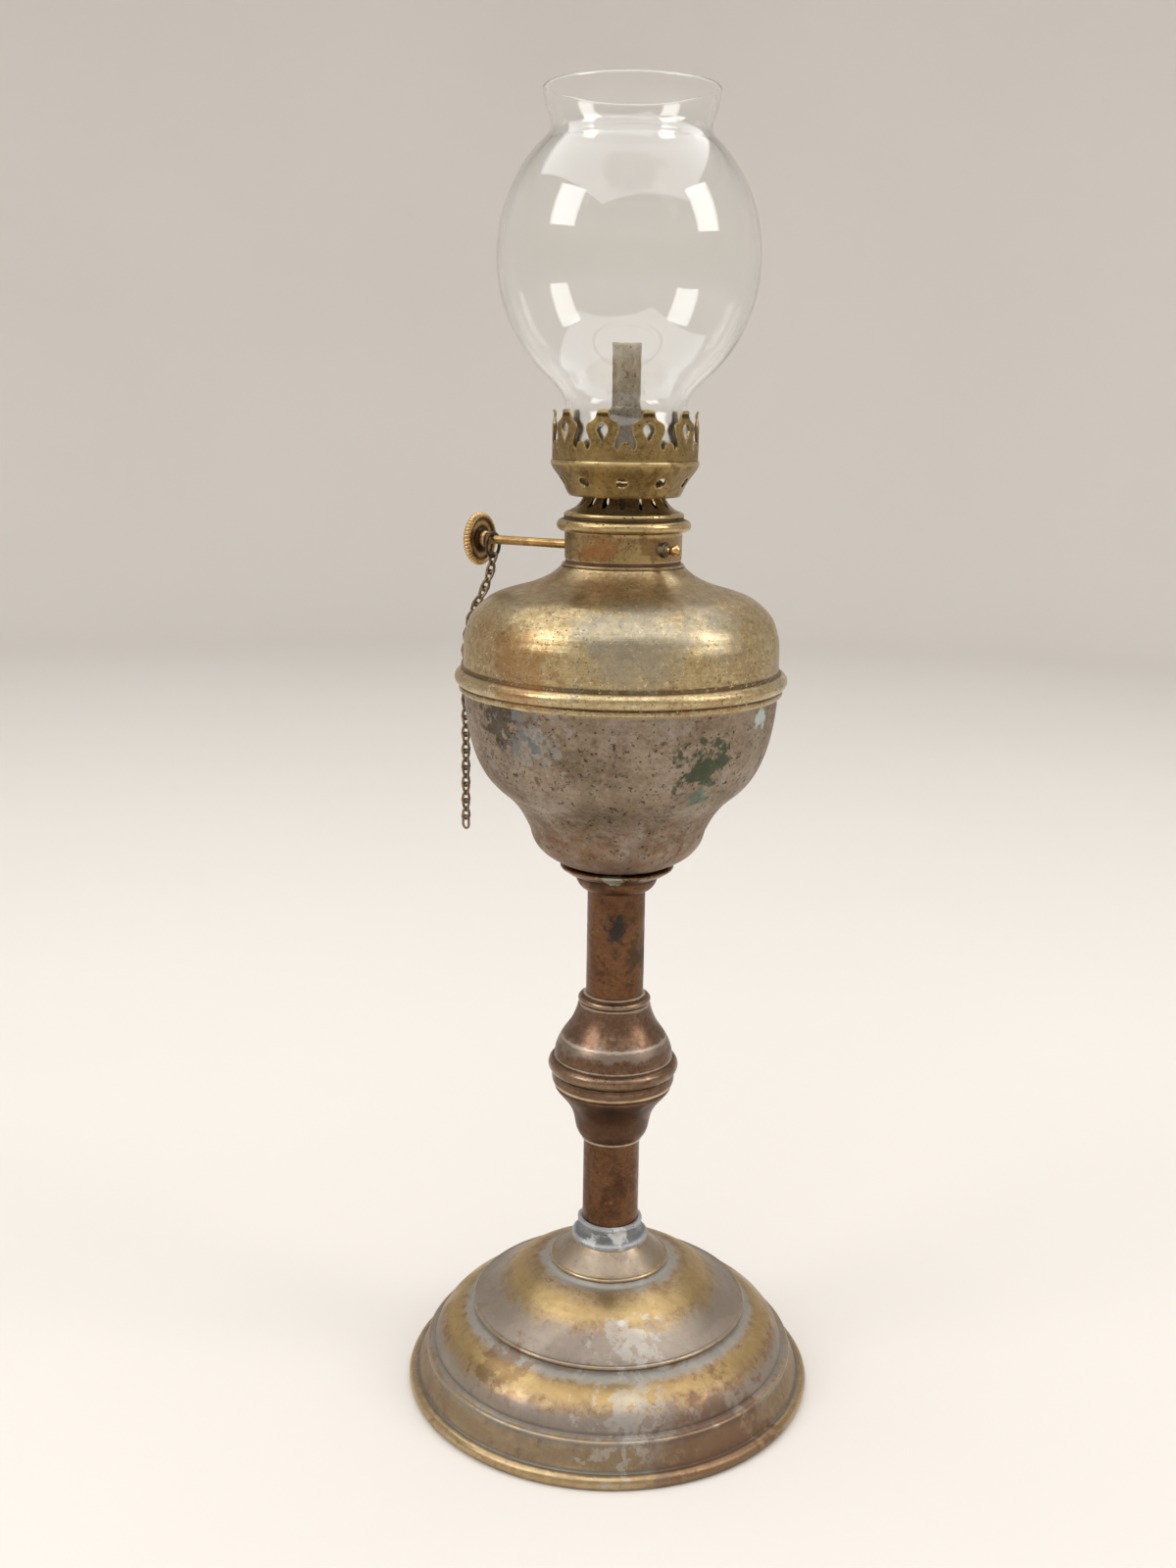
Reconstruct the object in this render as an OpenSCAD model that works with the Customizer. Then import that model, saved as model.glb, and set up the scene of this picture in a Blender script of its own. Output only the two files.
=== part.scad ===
// Pedestal table lamp for light spirit: spun brass foot, stem with a knop,
// padded font, round-wick burner with a side winder, pronged gallery, ball
// glass and the chain of its snuffer cap. Millimetres, +Z up, origin at the
// centre of the circle that the foot stands on. The winder shaft runs along X
// with its knob at -X.

/* [Foot] */
// Outer radius of the rolled rim
foot_r = 55.4; // [55:0.1:56.5]
// Radius of the wire-like bead rolled along the rim
rim_bead_r = 1.85; // [1.7:0.05:2]
// Radius of the sharp ridge above the rim
ridge_r = 50.2; // [50:0.1:50.5]
// Height of that ridge
ridge_z = 10.2; // [10:0.1:10.6]
// Radius of the lip of the middle dome
lip_r = 37.5; // [37:0.1:38]
// Height of that lip
lip_z = 23; // [22.6:0.1:23.2]
// Radius of the small disc round the stem
disc_r = 16.3; // [16:0.1:16.8]
// Height of the lip of the small disc
disc_z = 35.8; // [35.5:0.1:36]
// Height at which the foot ends against the stem
foot_top_z = 41.2; // [41:0.1:41.6]

/* [Stem] */
// Outer radius of both stem tubes
stem_r = 7.65; // [7.5:0.05:7.7]
// Wall of the stem tubes
stem_wall = 0.8; // [0.6:0.1:1]
// Radius of the ring round the middle of the knop
knop_r = 17.45; // [17.2:0.05:17.6]
// Height of that ring
knop_z = 91.8; // [91.5:0.1:92]
// Lower end of the knop
knop_bottom_z = 70.4; // [70:0.1:70.8]
// Upper end of the knop
knop_top_z = 112; // [111.8:0.1:112.5]
// Upper end of the stem
stem_top_z = 141; // [140.8:0.1:141.2]

/* [Font] */
// Radius of the wall of the font on both sides of the belt
font_r = 40.2; // [40:0.1:40.4]
// Radius of the rolled belt that joins bowl and dome
belt_r = 42.4; // [42.2:0.1:42.5]
// Height of the middle of the belt
belt_z = 196.7; // [196.5:0.1:196.9]
// Radius of the waist of the bowl
bowl_waist_r = 22.6; // [22.4:0.1:22.8]
// Sheet thickness of bowl and dome
sheet_t = 0.6; // [0.5:0.05:0.7]
// Height at which the dome meets its collar
dome_top_z = 224.8; // [224.6:0.1:224.9]

/* [Burner] */
// Radius of the burner casing
casing_r = 14.7; // [14.6:0.05:14.8]
// Radius of the bead round the burner cap
cap_bead_r = 16.85; // [16.7:0.05:16.9]
// Radius of the plain screw that holds the burner in the collar
screw_r = 12.3; // [12.2:0.05:12.3]
// Number of air slots round the neck of the cap
neck_slots = 16; // [12:1:18]
// Outer radius of the wick tube
wick_tube_r = 3.5; // [3.45:0.05:3.55]
// Mouth of the wick tube
wick_tube_top_z = 279; // [276:0.5:282]
// Radius of the wick
wick_r = 2.8; // [2.7:0.05:2.85]
// Top of the wick, down in its tube
wick_top_z = 277; // [274:0.5:278]

/* [Winder] */
// Height of the winder shaft
winder_z = 229.7; // [229.5:0.1:230]
// Distance of the shaft from the lamp's axis
winder_y = 4.8; // [4.8:0.05:4.9]
// Radius of the shaft
shaft_r = 1.15; // [1.1:0.05:1.15]
// Distance of the knob from the lamp's axis
knob_x = 40; // [39.6:0.1:40.4]
// Radius of the knob
knob_r = 6.9; // [6.7:0.1:7]
// Teeth of the knurl on the knob
knurl_teeth = 44; // [36:1:52]

/* [Gallery and glass] */
// Number of prongs, and of the air holes below them
prongs = 10; // [10:1:10]
// Outer radius of the crown below its prongs
crown_r = 18.1; // [18:0.05:18.2]
// Radius of the bead below the crown
gallery_bead_r = 18.5; // [18.4:0.05:18.6]
// Lower edge of the gallery's skirt
skirt_bottom_z = 242; // [241.9:0.1:242.2]
// Tips of the prongs
prong_top_z = 262.7; // [262.3:0.1:263]
// Outer radius of the foot of the glass
glass_foot_r = 16.8; // [16.6:0.05:16.9]
// Largest radius of the ball of the glass
ball_r = 32; // [31.5:0.1:32.5]
// Height of the widest part of the ball
ball_z = 298.6; // [298:0.1:299.2]
// Upper edge of the glass
glass_top_z = 337.5; // [336.5:0.1:338.5]
// Outer radius of the upper edge
glass_top_r = 21.4; // [21:0.1:21.8]
// Wall of the glass
glass_wall = 1.3; // [1.1:0.1:1.4]

/* [Chain] */
// Wire radius of a link
link_wire_r = 0.3; // [0.28:0.01:0.32]
// Inner length of a link
link_inner_l = 2.4; // [2.3:0.05:2.5]
// Inner width of a link
link_inner_w = 1.5; // [1.4:0.05:1.6]
// Distance from one link to the next
link_pitch = 2.28; // [2.1:0.01:2.3]
// Height at which the tail of the chain begins
tail_z = 189; // [186:0.5:192]
// Lower end of the hanging chain
chain_end_z = 152.5; // [146:0.5:158]

/* [Hidden] */
$fn = 96;

brass = [0.62, 0.50, 0.28];
old_brass = [0.50, 0.42, 0.26];
copper_brown = [0.38, 0.26, 0.18];
tarnish = [0.45, 0.40, 0.34];
solder_grey = [0.50, 0.50, 0.50];
dark_metal = [0.28, 0.24, 0.18];

e = 0.01;                                   // small overlap that keeps cuts clean
fit_gap = 0.05;                             // radial play of the shaft in its bearings
knop_split_z = knop_z - 2;                  // joint between the halves of the knop
stem_foot_z = foot_top_z - 3;               // seat of the stem in the closed cup of the foot
tube_grip = 6;                              // length of each tube that sits in the knop
belt_bead_r = 2;
first_gap = -61;                            // angle of the first gap between two prongs
air_hole_shift = -2.4;                      // angle from a gap to the air hole below it
collar_top_z = dome_top_z + 0.7;
washer_t = 0.8;
casing_z = collar_top_z + washer_t;
casing_wall = 0.5;
cap_z = 233.4;
neck_r = 9.6;
neck_top_z = 246;
sleeve_r = wick_tube_r + 0.3;
sleeve_top_z = 264;
pinion_r = winder_y - wick_r - 0.1;
seat_z = 251;
gland_x = 14.1;                             // outer face of the casing where the shaft leaves it
ball_at = 3.1;                              // middle of the end ball beyond that face
ball_end_r = 1.45;
ball_flat = 1.2;                            // flat of the ball against the end of the shaft
ring_x = -36;
ring_r = 3.05;
ring_wire_r = 0.45;

// ---- curves -------------------------------------------------------------

// Points of a cubic curve from a to d, pulled towards b and c
function curve(a, b, c, d, n = 8) = [
    for (i = [0:n]) let (t = i / n, s = 1 - t)
        s * s * s * a + 3 * s * s * t * b + 3 * s * t * t * c + t * t * t * d
];
// Points of an arc in the r, z plane
function arc(r, z, radius, from, to, n = 8) = [
    for (i = [0:n]) let (w = from + (to - from) * i / n) [r + radius * cos(w), z + radius * sin(w)]
];
function turned(p) = [for (i = [len(p) - 1:-1:0]) p[i]];
// The outline p moved to its left by t, which is inwards for an outline that climbs
function inner_side(p, t) = [
    for (i = [0:len(p) - 1])
        let (d = p[min(i + 1, len(p) - 1)] - p[max(i - 1, 0)]) p[i] + t / norm(d) * [-d[1], d[0]]
];

// ---- shared shapes ------------------------------------------------------

// Solid of revolution between two outlines that both run from bottom to top
module spun(outer, inner) { rotate_extrude() polygon(concat(outer, turned(inner))); }
// Spun sheet of an even thickness under one outline
module spun_sheet(outer, t) { spun(outer, inner_side(outer, t)); }
module ring(r_out, r_in, z, h) {
    translate([0, 0, z]) difference() {
        cylinder(r = r_out, h = h);
        translate([0, 0, -1]) cylinder(r = r_in, h = h + 2);
    }
}
// Cylinder along X on the winder's line, from x0 to x1
module on_winder(r, x0, x1) {
    translate([x0, -winder_y, winder_z]) rotate([0, 90, 0]) cylinder(r = r, h = x1 - x0);
}

// ---- foot and stem ------------------------------------------------------

module foot_shell() {
    skirt = curve([foot_r - 2.3, rim_bead_r], [foot_r - 3, 5],
                  [ridge_r + 0.9, 7.4], [ridge_r + 0.2, ridge_z - 0.9]);
    ridge = arc(ridge_r - 0.3, ridge_z - 0.2, 0.6, -30, 100, 5);
    band = curve([ridge_r - 2, ridge_z + 0.9], [ridge_r - 2.5, ridge_z + 4.8],
                 [lip_r + 7, lip_z - 4.8], [lip_r + 2.5, lip_z - 3.1], 10);
    cove = curve([lip_r + 2, lip_z - 2.9], [lip_r + 0.9, lip_z - 2.5],
                 [lip_r - 0.1, lip_z - 2.1], [lip_r - 0.4, lip_z - 1], 5);
    lip = arc(lip_r - 0.5, lip_z - 0.1, 0.55, -40, 110, 5);
    slope = curve([lip_r - 1, lip_z + 0.5], [lip_r - 4, lip_z + 1.9], [lip_r - 6, lip_z + 3.6], [28.5, 29]);
    dome = curve([28.2, 29.2], [24.5, 32.2], [20.8, 33.9], [disc_r + 1.2, disc_z - 1.6]);
    disc_lip = arc(disc_r - 0.5, disc_z - 0.3, 0.55, -50, 100, 5);
    disc = curve([disc_r - 0.9, disc_z + 0.4], [13.4, 37.6], [11.6, 39.4], [10, foot_top_z], 6);
    under = [
        [foot_r - 3.2, rim_bead_r], [ridge_r - 1, ridge_z - 1.4], [ridge_r - 3, ridge_z + 1.2],
        [ridge_r - 6, ridge_z + 6], [lip_r + 2.6, lip_z - 4.2], [lip_r - 1.3, lip_z - 1.6],
        [28, 28], [18, 33.2], [disc_r - 1.6, disc_z - 1], [10, stem_foot_z - 1.4], [0, stem_foot_z - 1.4]
    ];
    top = [[stem_r, foot_top_z], [stem_r, stem_foot_z], [0, stem_foot_z]];
    color(old_brass) difference() {
        union() {
            spun(concat(skirt, ridge, band, cove, lip, slope, dome, disc_lip, disc, top), under);
            rotate_extrude() translate([foot_r - rim_bead_r, rim_bead_r - 0.2])
                circle(r = rim_bead_r, $fn = 48);
        }
        translate([0, 0, -5]) cylinder(r = foot_r + 5, h = 5);
    }
}

module foot_ferrule() {
    outer = concat([[10.3, foot_top_z]], arc(9.6, foot_top_z + 0.7, 0.8, -30, 80, 4),
                   curve([9.3, foot_top_z + 1.6], [8.7, 43.2], [8.5, 44.4], [8.7, 45.6], 5),
                   [[8.8, 46.4], [8.3, 47]]);
    color(solder_grey) spun(outer, [[stem_r, foot_top_z], [stem_r, 47]]);
}

module stem_tube(from_z, to_z) { ring(stem_r, stem_r - stem_wall, from_z, to_z - from_z); }

module stem_lower_tube() {
    color(copper_brown) stem_tube(stem_foot_z, knop_bottom_z + tube_grip);
}

module knop_lower_shell() {
    outer = concat([[stem_r, knop_bottom_z], [stem_r + 0.5, knop_bottom_z + 0.1],
                    [stem_r + 0.6, knop_bottom_z + 0.8]],
                   curve([8.6, 71.4], [9.3, 72.2], [9.8, 73.4], [10, 75], 5),
                   curve([10.2, 76], [11, 80.4], [13.4, 82.4], [15, 84.4]),
                   [[15.6, 85.4], [15.5, 85.9], [15.9, 86.3]],
                   curve([16.1, 86.8], [16.5, 87.6], [16.6, 88.8], [16.3, knop_split_z], 4));
    inner = [[stem_r, knop_bottom_z], [stem_r, 76.6], [9.4, 76.6], [12.6, 83], [15.2, knop_split_z]];
    color(copper_brown) spun(outer, inner);
}

module knop_upper_shell() {
    outer = concat([[15.4, knop_split_z]], arc(knop_r - 2, knop_z, 2, -75, 75, 10), [[15.9, knop_z + 2.2]],
                   curve([15.9, knop_z + 2.6], [15.6, 98.6], [13.2, 101], [12.2, 102.6]),
                   curve([11.9, 103], [10.7, 105], [10, 107], [9.7, 108.6], 5),
                   [[9.2, 108.9], [9.2, 109.3]], arc(8.9, 110.2, 0.8, -60, 90, 5),
                   [[8.3, 111.4], [8.1, knop_top_z]]);
    inner = [[14.2, knop_split_z], [14.8, 96], [11.2, 102.6], [9, 106.6], [stem_r, 106.6],
             [stem_r, knop_top_z]];
    color(copper_brown) spun(outer, inner);
}

module stem_upper_tube() {
    color(copper_brown) stem_tube(knop_top_z - tube_grip, stem_top_z + 4);
}

// ---- font ---------------------------------------------------------------

module font_socket() {
    outer = concat(curve([stem_r + 0.2, 140.4], [9.4, 140.8], [10.6, 142.4], [10.8, 144.2], 6),
                   [[11, 144.5], [13, 145.3], [14.6, 146.4], [14.8, 147], [14.3, 147.4]]);
    color(copper_brown) spun(outer, [[stem_r, 140.4], [stem_r, 147.4]]);
}

function bowl_outer() = concat(
    [[stem_r, 147.4]],
    curve([13.4, 147.6], [17.3, 149.2], [21.7, 151.5], [bowl_waist_r, 156.4], 8),
    curve([bowl_waist_r + 0.3, 157.4], [24.1, 160], [26, 163.8], [29.5, 166.6], 6),
    curve([30.2, 167.2], [35.2, 171.2], [38.6, 177], [font_r - 0.3, belt_z - 6.2], 10),
    [[font_r - 0.1, belt_z - 3.3]]);

module font_bowl() {
    outer = bowl_outer();
    sides = inner_side(outer, sheet_t);
    inner = concat([[0, 148.4], [stem_r, 148.4]], [for (i = [1:len(sides) - 1]) sides[i]]);
    color(tarnish) spun(concat([[0, 147.4]], outer), inner);
}

function belt_outer() = concat(
    [[font_r - 0.1, belt_z - 3.3], [belt_r - 1.4, belt_z - 3.4], [belt_r - 1.1, belt_z - 2.4],
     [belt_r - 1.3, belt_z - 1.7]],
    arc(belt_r - belt_bead_r, belt_z, belt_bead_r, -50, 75, 8),
    [[font_r, belt_z + 2.1]]);
function dome_outer() = concat(
    curve([font_r, belt_z + 2.1], [font_r, belt_z + 4.4], [font_r + 0.1, 207.2], [39.6, 208.4], 6),
    curve([39.4, 209], [38.7, 212.4], [36.8, 214.4], [33.6, 216.6], 9),
    curve([33.1, 216.9], [30.2, 218.5], [26, 219], [22.5, 220.4], 8),
    curve([21.8, 220.7], [19.2, 221.7], [17.4, 222.8], [15.6, dome_top_z], 7));

module font_dome() {
    inner = concat([[font_r - sheet_t - 0.1, belt_z - 3.3], [font_r - sheet_t, belt_z + 3]],
                   inner_side(dome_outer(), sheet_t));
    color(brass) spun(concat(belt_outer(), dome_outer()), inner);
}

module font_collar() {
    outer = [[screw_r + 0.1, 218], [13.6, 218], [13.6, 222.6], [14.6, dome_top_z - 0.6], [14.6, dome_top_z],
             [15.3, dome_top_z], [15.4, dome_top_z + 0.4], [15.1, collar_top_z]];
    color(brass) spun(outer, [[screw_r + 0.1, 218], [screw_r + 0.1, collar_top_z]]);
}

module fuel_wadding() {
    wick_bore = wick_r + 0.4;
    outer = concat([[0, 148.4], [7, 148.4], [18, 153.4], [20.8, 157], [23, 161.6], [28, 168]],
                   curve([28.6, 168.6], [33, 172.6], [37, 178], [38.4, 191], 6), [[38.4, 205], [36, 207]]);
    color([0.80, 0.78, 0.70]) spun(outer, [[0, 156], [wick_bore, 156], [wick_bore, 207]]);
}

// ---- burner -------------------------------------------------------------

module sealing_washer() { color([0.25, 0.16, 0.10]) ring(14.5, screw_r + 0.3, collar_top_z, washer_t); }

module burner_screw() {
    floor_z = casing_z + 0.8;
    floor_r = casing_r - casing_wall;
    bore_r = screw_r - 0.8;
    outer = [[screw_r, 218.6], [screw_r, casing_z], [floor_r, casing_z], [floor_r, floor_z]];
    inner = [[bore_r, 218.6], [bore_r, casing_z], [wick_tube_r, casing_z], [wick_tube_r, floor_z]];
    color(brass) spun(outer, inner);
}

module burner_casing() {
    color(brass) difference() {
        spun([[casing_r - 0.1, casing_z], [casing_r, casing_z + 0.6], [casing_r + 0.05, cap_z]],
             [[casing_r - casing_wall, casing_z], [casing_r - casing_wall, cap_z]]);
        on_winder(shaft_r + fit_gap, -20, 20);
    }
}

module burner_cap() {
    outer = concat(
        [[casing_r - casing_wall, cap_z]], arc(cap_bead_r - 1.5, cap_z + 1.5, 1.5, -90, 60, 8),
        [[15.4, cap_z + 3.1], [15, cap_z + 3.3]], arc(14.4, cap_z + 4, 0.7, -30, 80, 5),
        curve([14.2, cap_z + 4.9], [11.8, cap_z + 5.6], [10.4, cap_z + 7.2], [neck_r, 243], 7),
        [[neck_r - 0.2, neck_top_z - 0.6], [neck_r - 0.8, neck_top_z], [sleeve_r, neck_top_z]]);
    inner = concat(
        [[casing_r - casing_wall - 0.6, cap_z], [cap_bead_r - 2.4, cap_z + 1], [14.3, cap_z + 3.4],
         [13.6, cap_z + 4.4]],
        curve([13.4, cap_z + 4.5], [11.2, cap_z + 5.4], [9.8, cap_z + 7], [neck_r - 0.6, 243], 7),
        [[neck_r - 0.8, neck_top_z - 0.9], [sleeve_r, neck_top_z - 0.9]]);
    color(old_brass) difference() {
        spun(outer, inner);
        for (i = [0:neck_slots - 1]) rotate([0, 0, (i + 0.5) * 360 / neck_slots])
            translate([7, 0, 0]) {
                translate([0, -0.8, 240]) cube([8, 1.6, 4]);
                translate([0, 0, 240]) rotate([0, 90, 0]) cylinder(r = 0.8, h = 8, $fn = 32);
            }
    }
}

module wick_tube() {
    window_h = 2 * pinion_r + 0.8;
    color([0.48, 0.44, 0.36]) difference() {
        ring(wick_tube_r, wick_r + 0.3, 219, wick_tube_top_z - 219);
        translate([-1.2, -wick_tube_r - 1, winder_z - window_h / 2]) cube([2.4, 3, window_h]);
    }
}

module wick_sleeve() {
    color([0.46, 0.42, 0.35]) ring(sleeve_r, wick_tube_r, 234, sleeve_top_z - 234);
}

module pinion_cage() {
    cage_h = 5;
    color(brass) difference() {
        translate([-2.6, -8.2, winder_z - cage_h / 2]) cube([5.2, 6, cage_h]);
        translate([-1.8, -7.4, winder_z - cage_h]) cube([3.6, 8, 2 * cage_h]);
        translate([0, 0, winder_z - cage_h]) cylinder(r = wick_tube_r, h = 2 * cage_h);
        on_winder(shaft_r + fit_gap, -5, 5);
    }
}

module wick() {
    wick_end_z = 164;
    wick_l = wick_top_z - wick_end_z;
    color([0.85, 0.82, 0.72]) translate([0, 0, wick_end_z]) cylinder(r = wick_r, h = wick_l);
}

// ---- winder -------------------------------------------------------------

module winder_shaft() { color(brass) on_winder(shaft_r, -knob_x - 1, gland_x + ball_at - ball_flat); }

module wick_pinion() {
    teeth = 10;
    color(brass) translate([-0.9, -winder_y, winder_z]) rotate([0, 90, 0]) difference() {
        linear_extrude(1.8) polygon([for (i = [0:2 * teeth - 1])
            let (r = pinion_r - (i % 2) * 0.4, w = i * 180 / teeth) [r * cos(w), r * sin(w)]]);
        translate([0, 0, -1]) cylinder(r = shaft_r, h = 4, $fn = 48);
    }
}

module winder_knob() {
    tooth = 0.35;
    color(brass) translate([-knob_x, -winder_y, winder_z]) rotate([0, 90, 0]) difference() {
        union() {
            translate([0, 0, -1]) linear_extrude(2) polygon([for (i = [0:2 * knurl_teeth - 1])
                let (r = knob_r - (i % 2) * tooth, w = i * 180 / knurl_teeth) [r * cos(w), r * sin(w)]]);
            cylinder(r = 2.2, h = 2.4, $fn = 48);
        }
        for (s = [0, 180]) rotate([s, 0, 0]) translate([0, 0, 0.55]) ring(5.6, 2.9, 0, 1);
        translate([0, 0, -2]) cylinder(r = shaft_r, h = 6, $fn = 48);
    }
}

module shaft_gland() {
    color(dark_metal) difference() {
        union() {
            on_winder(1.95, gland_x - 0.6, gland_x + 0.8);
            on_winder(1.5, gland_x + 0.8, gland_x + 1.4);
        }
        on_winder(shaft_r + fit_gap, gland_x - 1, gland_x + 3);
        translate([0, 0, winder_z - 3]) cylinder(r = casing_r + 0.05, h = 6);
    }
}

module shaft_end_ball() {
    color(brass) translate([gland_x + ball_at, -winder_y, winder_z]) rotate([0, 90, 0]) rotate_extrude()
        polygon(concat([[0, -ball_flat]], arc(0, 0, ball_end_r, -asin(ball_flat / ball_end_r), 90, 14)));
}

// ---- gallery and glass --------------------------------------------------

module gallery_skirt() {
    outer = concat([[13.4, skirt_bottom_z], [13.9, skirt_bottom_z + 0.2], [14.2, skirt_bottom_z + 0.7]],
                   curve([14.4, 243.2], [15.3, 245.2], [15.9, 246], [16.9, 247.4], 6),
                   [[17.4, 248], [18, 248.9]], arc(gallery_bead_r - 0.8, 250.2, 0.8, -40, 80, 5));
    inner = concat([[13.4, skirt_bottom_z], [13.4, skirt_bottom_z + 0.8]],
                   curve([13.8, 243.4], [14.7, 245.4], [15.3, 246.3], [16.3, 247.8], 6),
                   [[17.2, 249], [17.4, 250.99]]);
    color(old_brass) difference() {
        spun(outer, inner);
        for (i = [0:prongs - 1]) rotate([0, 0, first_gap + air_hole_shift + i * 360 / prongs])
            translate([10, 0, 245.7]) rotate([0, 90, 0]) cylinder(r = 1.4, h = 10, $fn = 48);
    }
}

module gallery_floor() { color(old_brass) ring(13.4, neck_r + 0.7, skirt_bottom_z, 0.6); }

module chimney_seat() {
    color(old_brass) difference() {
        ring(17.3, 13.8, seat_z - 0.6, 0.6);
        for (i = [0:15]) rotate([0, 0, i * 22.5]) translate([15.2, 0, seat_z - 2])
            cylinder(r = 0.9, h = 4, $fn = 32);
    }
}

// Half of the gap between two prongs, from the scallop at its foot upwards
gap_half = concat(arc(0, 254.2, 1.3, 90, 10, 5), [[1.7, 253.6], [2.4, 254.1]],
                  curve([2.6, 254.8], [2.5, 256.4], [1.3, 257.4], [1.5, 258.7], 5),
                  curve([1.6, 259.4], [2, 260.2], [3.4, 260], [3.8, 261], 4),
                  [[4.1, prong_top_z], [4.1, prong_top_z + 2]]);
teardrop = concat([[0, 255.3]], arc(0, 258.3, 1.45, -25, 205, 12));

module radial_cut(outline) {
    translate([10, 0, 0]) rotate([90, 0, 90]) linear_extrude(12) polygon(outline);
}

module gallery_crown() {
    mirrored = [for (p = turned(gap_half)) [-p[0], p[1]]];
    color(old_brass) difference() {
        spun([[crown_r, seat_z], [crown_r, 259], [crown_r - 0.1, 261], [crown_r - 0.4, prong_top_z]],
             [[crown_r - 0.5, seat_z], [crown_r - 0.5, 259], [crown_r - 0.6, 261],
              [crown_r - 0.9, prong_top_z]]);
        for (i = [0:prongs - 1]) {
            rotate([0, 0, first_gap + i * 360 / prongs]) radial_cut(concat(gap_half, mirrored));
            rotate([0, 0, first_gap + (i + 0.5) * 360 / prongs]) radial_cut(teardrop);
        }
    }
}

module chimney() {
    ball_h = 35.5;
    outer = concat(
        [[glass_foot_r, seat_z], [glass_foot_r, 257]],
        curve([glass_foot_r, 257.6], [16.6, 260.2], [14.9, 261], [14.9, 263.4], 6),
        curve([14.9, 263.6], [14.9, 265.6], [15.7, 266.8], [17.2, 268.2], 5),
        [for (w = [-56:4:52]) [ball_r * cos(w), ball_z + ball_h * sin(w)]],
        curve([19.4, 327.3], [18.9, 328.1], [19, 329.2], [19.6, 330.6], 4),
        curve([19.9, 331.2], [20.6, 333], [21.1, 335], [glass_top_r, glass_top_z], 4));
    color([0.85, 0.92, 0.95, 0.35]) spun_sheet(outer, glass_wall);
}

// ---- chain --------------------------------------------------------------

// Route of the chain's middle line: over the shoulder of the dome and its belt, then straight down
hang_x = -43.7;
hang_y = -6;
route = concat(
    curve([ring_x, -winder_y, 224.62], [-36.2, -6.2, 218.6],
          [-37.3, -8.3, 215.4], [-39.6, -8.5, 211.4], 16),
    curve([-39.9, -8.5, 210.8], [-41.2, -8.4, 207.6], [hang_x, -6.9, 201], [hang_x, hang_y, 195], 16),
    [[hang_x, hang_y, chain_end_z - 10]]);
// Length of the route up to each of its points
function run_lengths(p, i = 0, so_far = 0) = i >= len(p) - 1 ? [so_far]
    : concat([so_far], run_lengths(p, i + 1, so_far + norm(p[i + 1] - p[i])));
lengths = run_lengths(route);
function at_length(s) = let (i = max([for (k = [0:len(route) - 2]) if (lengths[k] <= s) k]),
                             t = (s - lengths[i]) / (lengths[i + 1] - lengths[i]))
    route[i] + t * (route[i + 1] - route[i]);
links = floor((lengths[len(lengths) - 1] - 10) / link_pitch);
function link_place(i) = at_length(i * link_pitch);
link_twist = -16;

// One oval link with its length along Z, in the plane X Z
module link() {
    straight = link_inner_l - link_inner_w;
    bow_r = link_inner_w / 2 + link_wire_r;
    for (s = [0, 180]) rotate([0, s, 0]) translate([0, 0, straight / 2]) {
        rotate([90, 0, 0]) rotate_extrude(angle = 180, $fn = 48) translate([bow_r, 0])
            circle(r = link_wire_r, $fn = 48);
        translate([bow_r, 0, -straight]) cylinder(r = link_wire_r, h = straight, $fn = 48);
    }
}

module links_between(first, last) {
    for (i = [first:last]) {
        d = link_place(i + 0.5) - link_place(max(0, i - 0.5));
        translate(link_place(i)) rotate(a = acos(-d[2] / norm(d)), v = [d[1] + e * e, -d[0], 0])
            rotate([0, 0, link_twist + (i % 2) * 90]) link();
    }
}
tail_first = min([for (i = [0:links - 1]) if (link_place(i)[2] < tail_z) i]);

module chain_ring() {
    color(dark_metal) translate([ring_x, -winder_y, winder_z - ring_r + ring_wire_r + shaft_r + fit_gap])
        rotate([0, 90, 0]) rotate_extrude($fn = 48) translate([ring_r, 0])
            circle(r = ring_wire_r, $fn = 48);
}
module chain_upper_links() { color(dark_metal) links_between(0, tail_first - 1); }
module chain_tail_links() { color(dark_metal) links_between(tail_first, links - 1); }
module chain_end_link() {
    color(dark_metal) translate([hang_x, hang_y, link_place(links)[2] - 0.15])
        rotate([0, 0, link_twist + (links % 2) * 90]) scale([1.15, 1.15, 1.15]) link();
}

// ---- the object ---------------------------------------------------------

foot_shell();
foot_ferrule();
stem_lower_tube();
knop_lower_shell();
knop_upper_shell();
stem_upper_tube();
font_socket();
font_bowl();
font_dome();
font_collar();
fuel_wadding();
sealing_washer();
burner_screw();
burner_casing();
burner_cap();
wick_tube();
wick_sleeve();
pinion_cage();
wick();
winder_shaft();
wick_pinion();
winder_knob();
shaft_gland();
shaft_end_ball();
gallery_skirt();
gallery_floor();
gallery_crown();
chimney_seat();
chimney();
chain_ring();
chain_upper_links();
chain_tail_links();
chain_end_link();
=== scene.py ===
"""Pedestal spirit lamp of spun brass with a round-wick burner, a pronged gallery and a ball glass.

Shapes are worked out in millimetres round the lamp's axis (+Z) and turned into metres when a
mesh is made. Outlines are lists of (radius, height); the solid lies on their left-hand side.
"""
import math

import bpy
import numpy as np
from mathutils import Matrix, Vector
from mathutils.geometry import delaunay_2d_cdt


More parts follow.
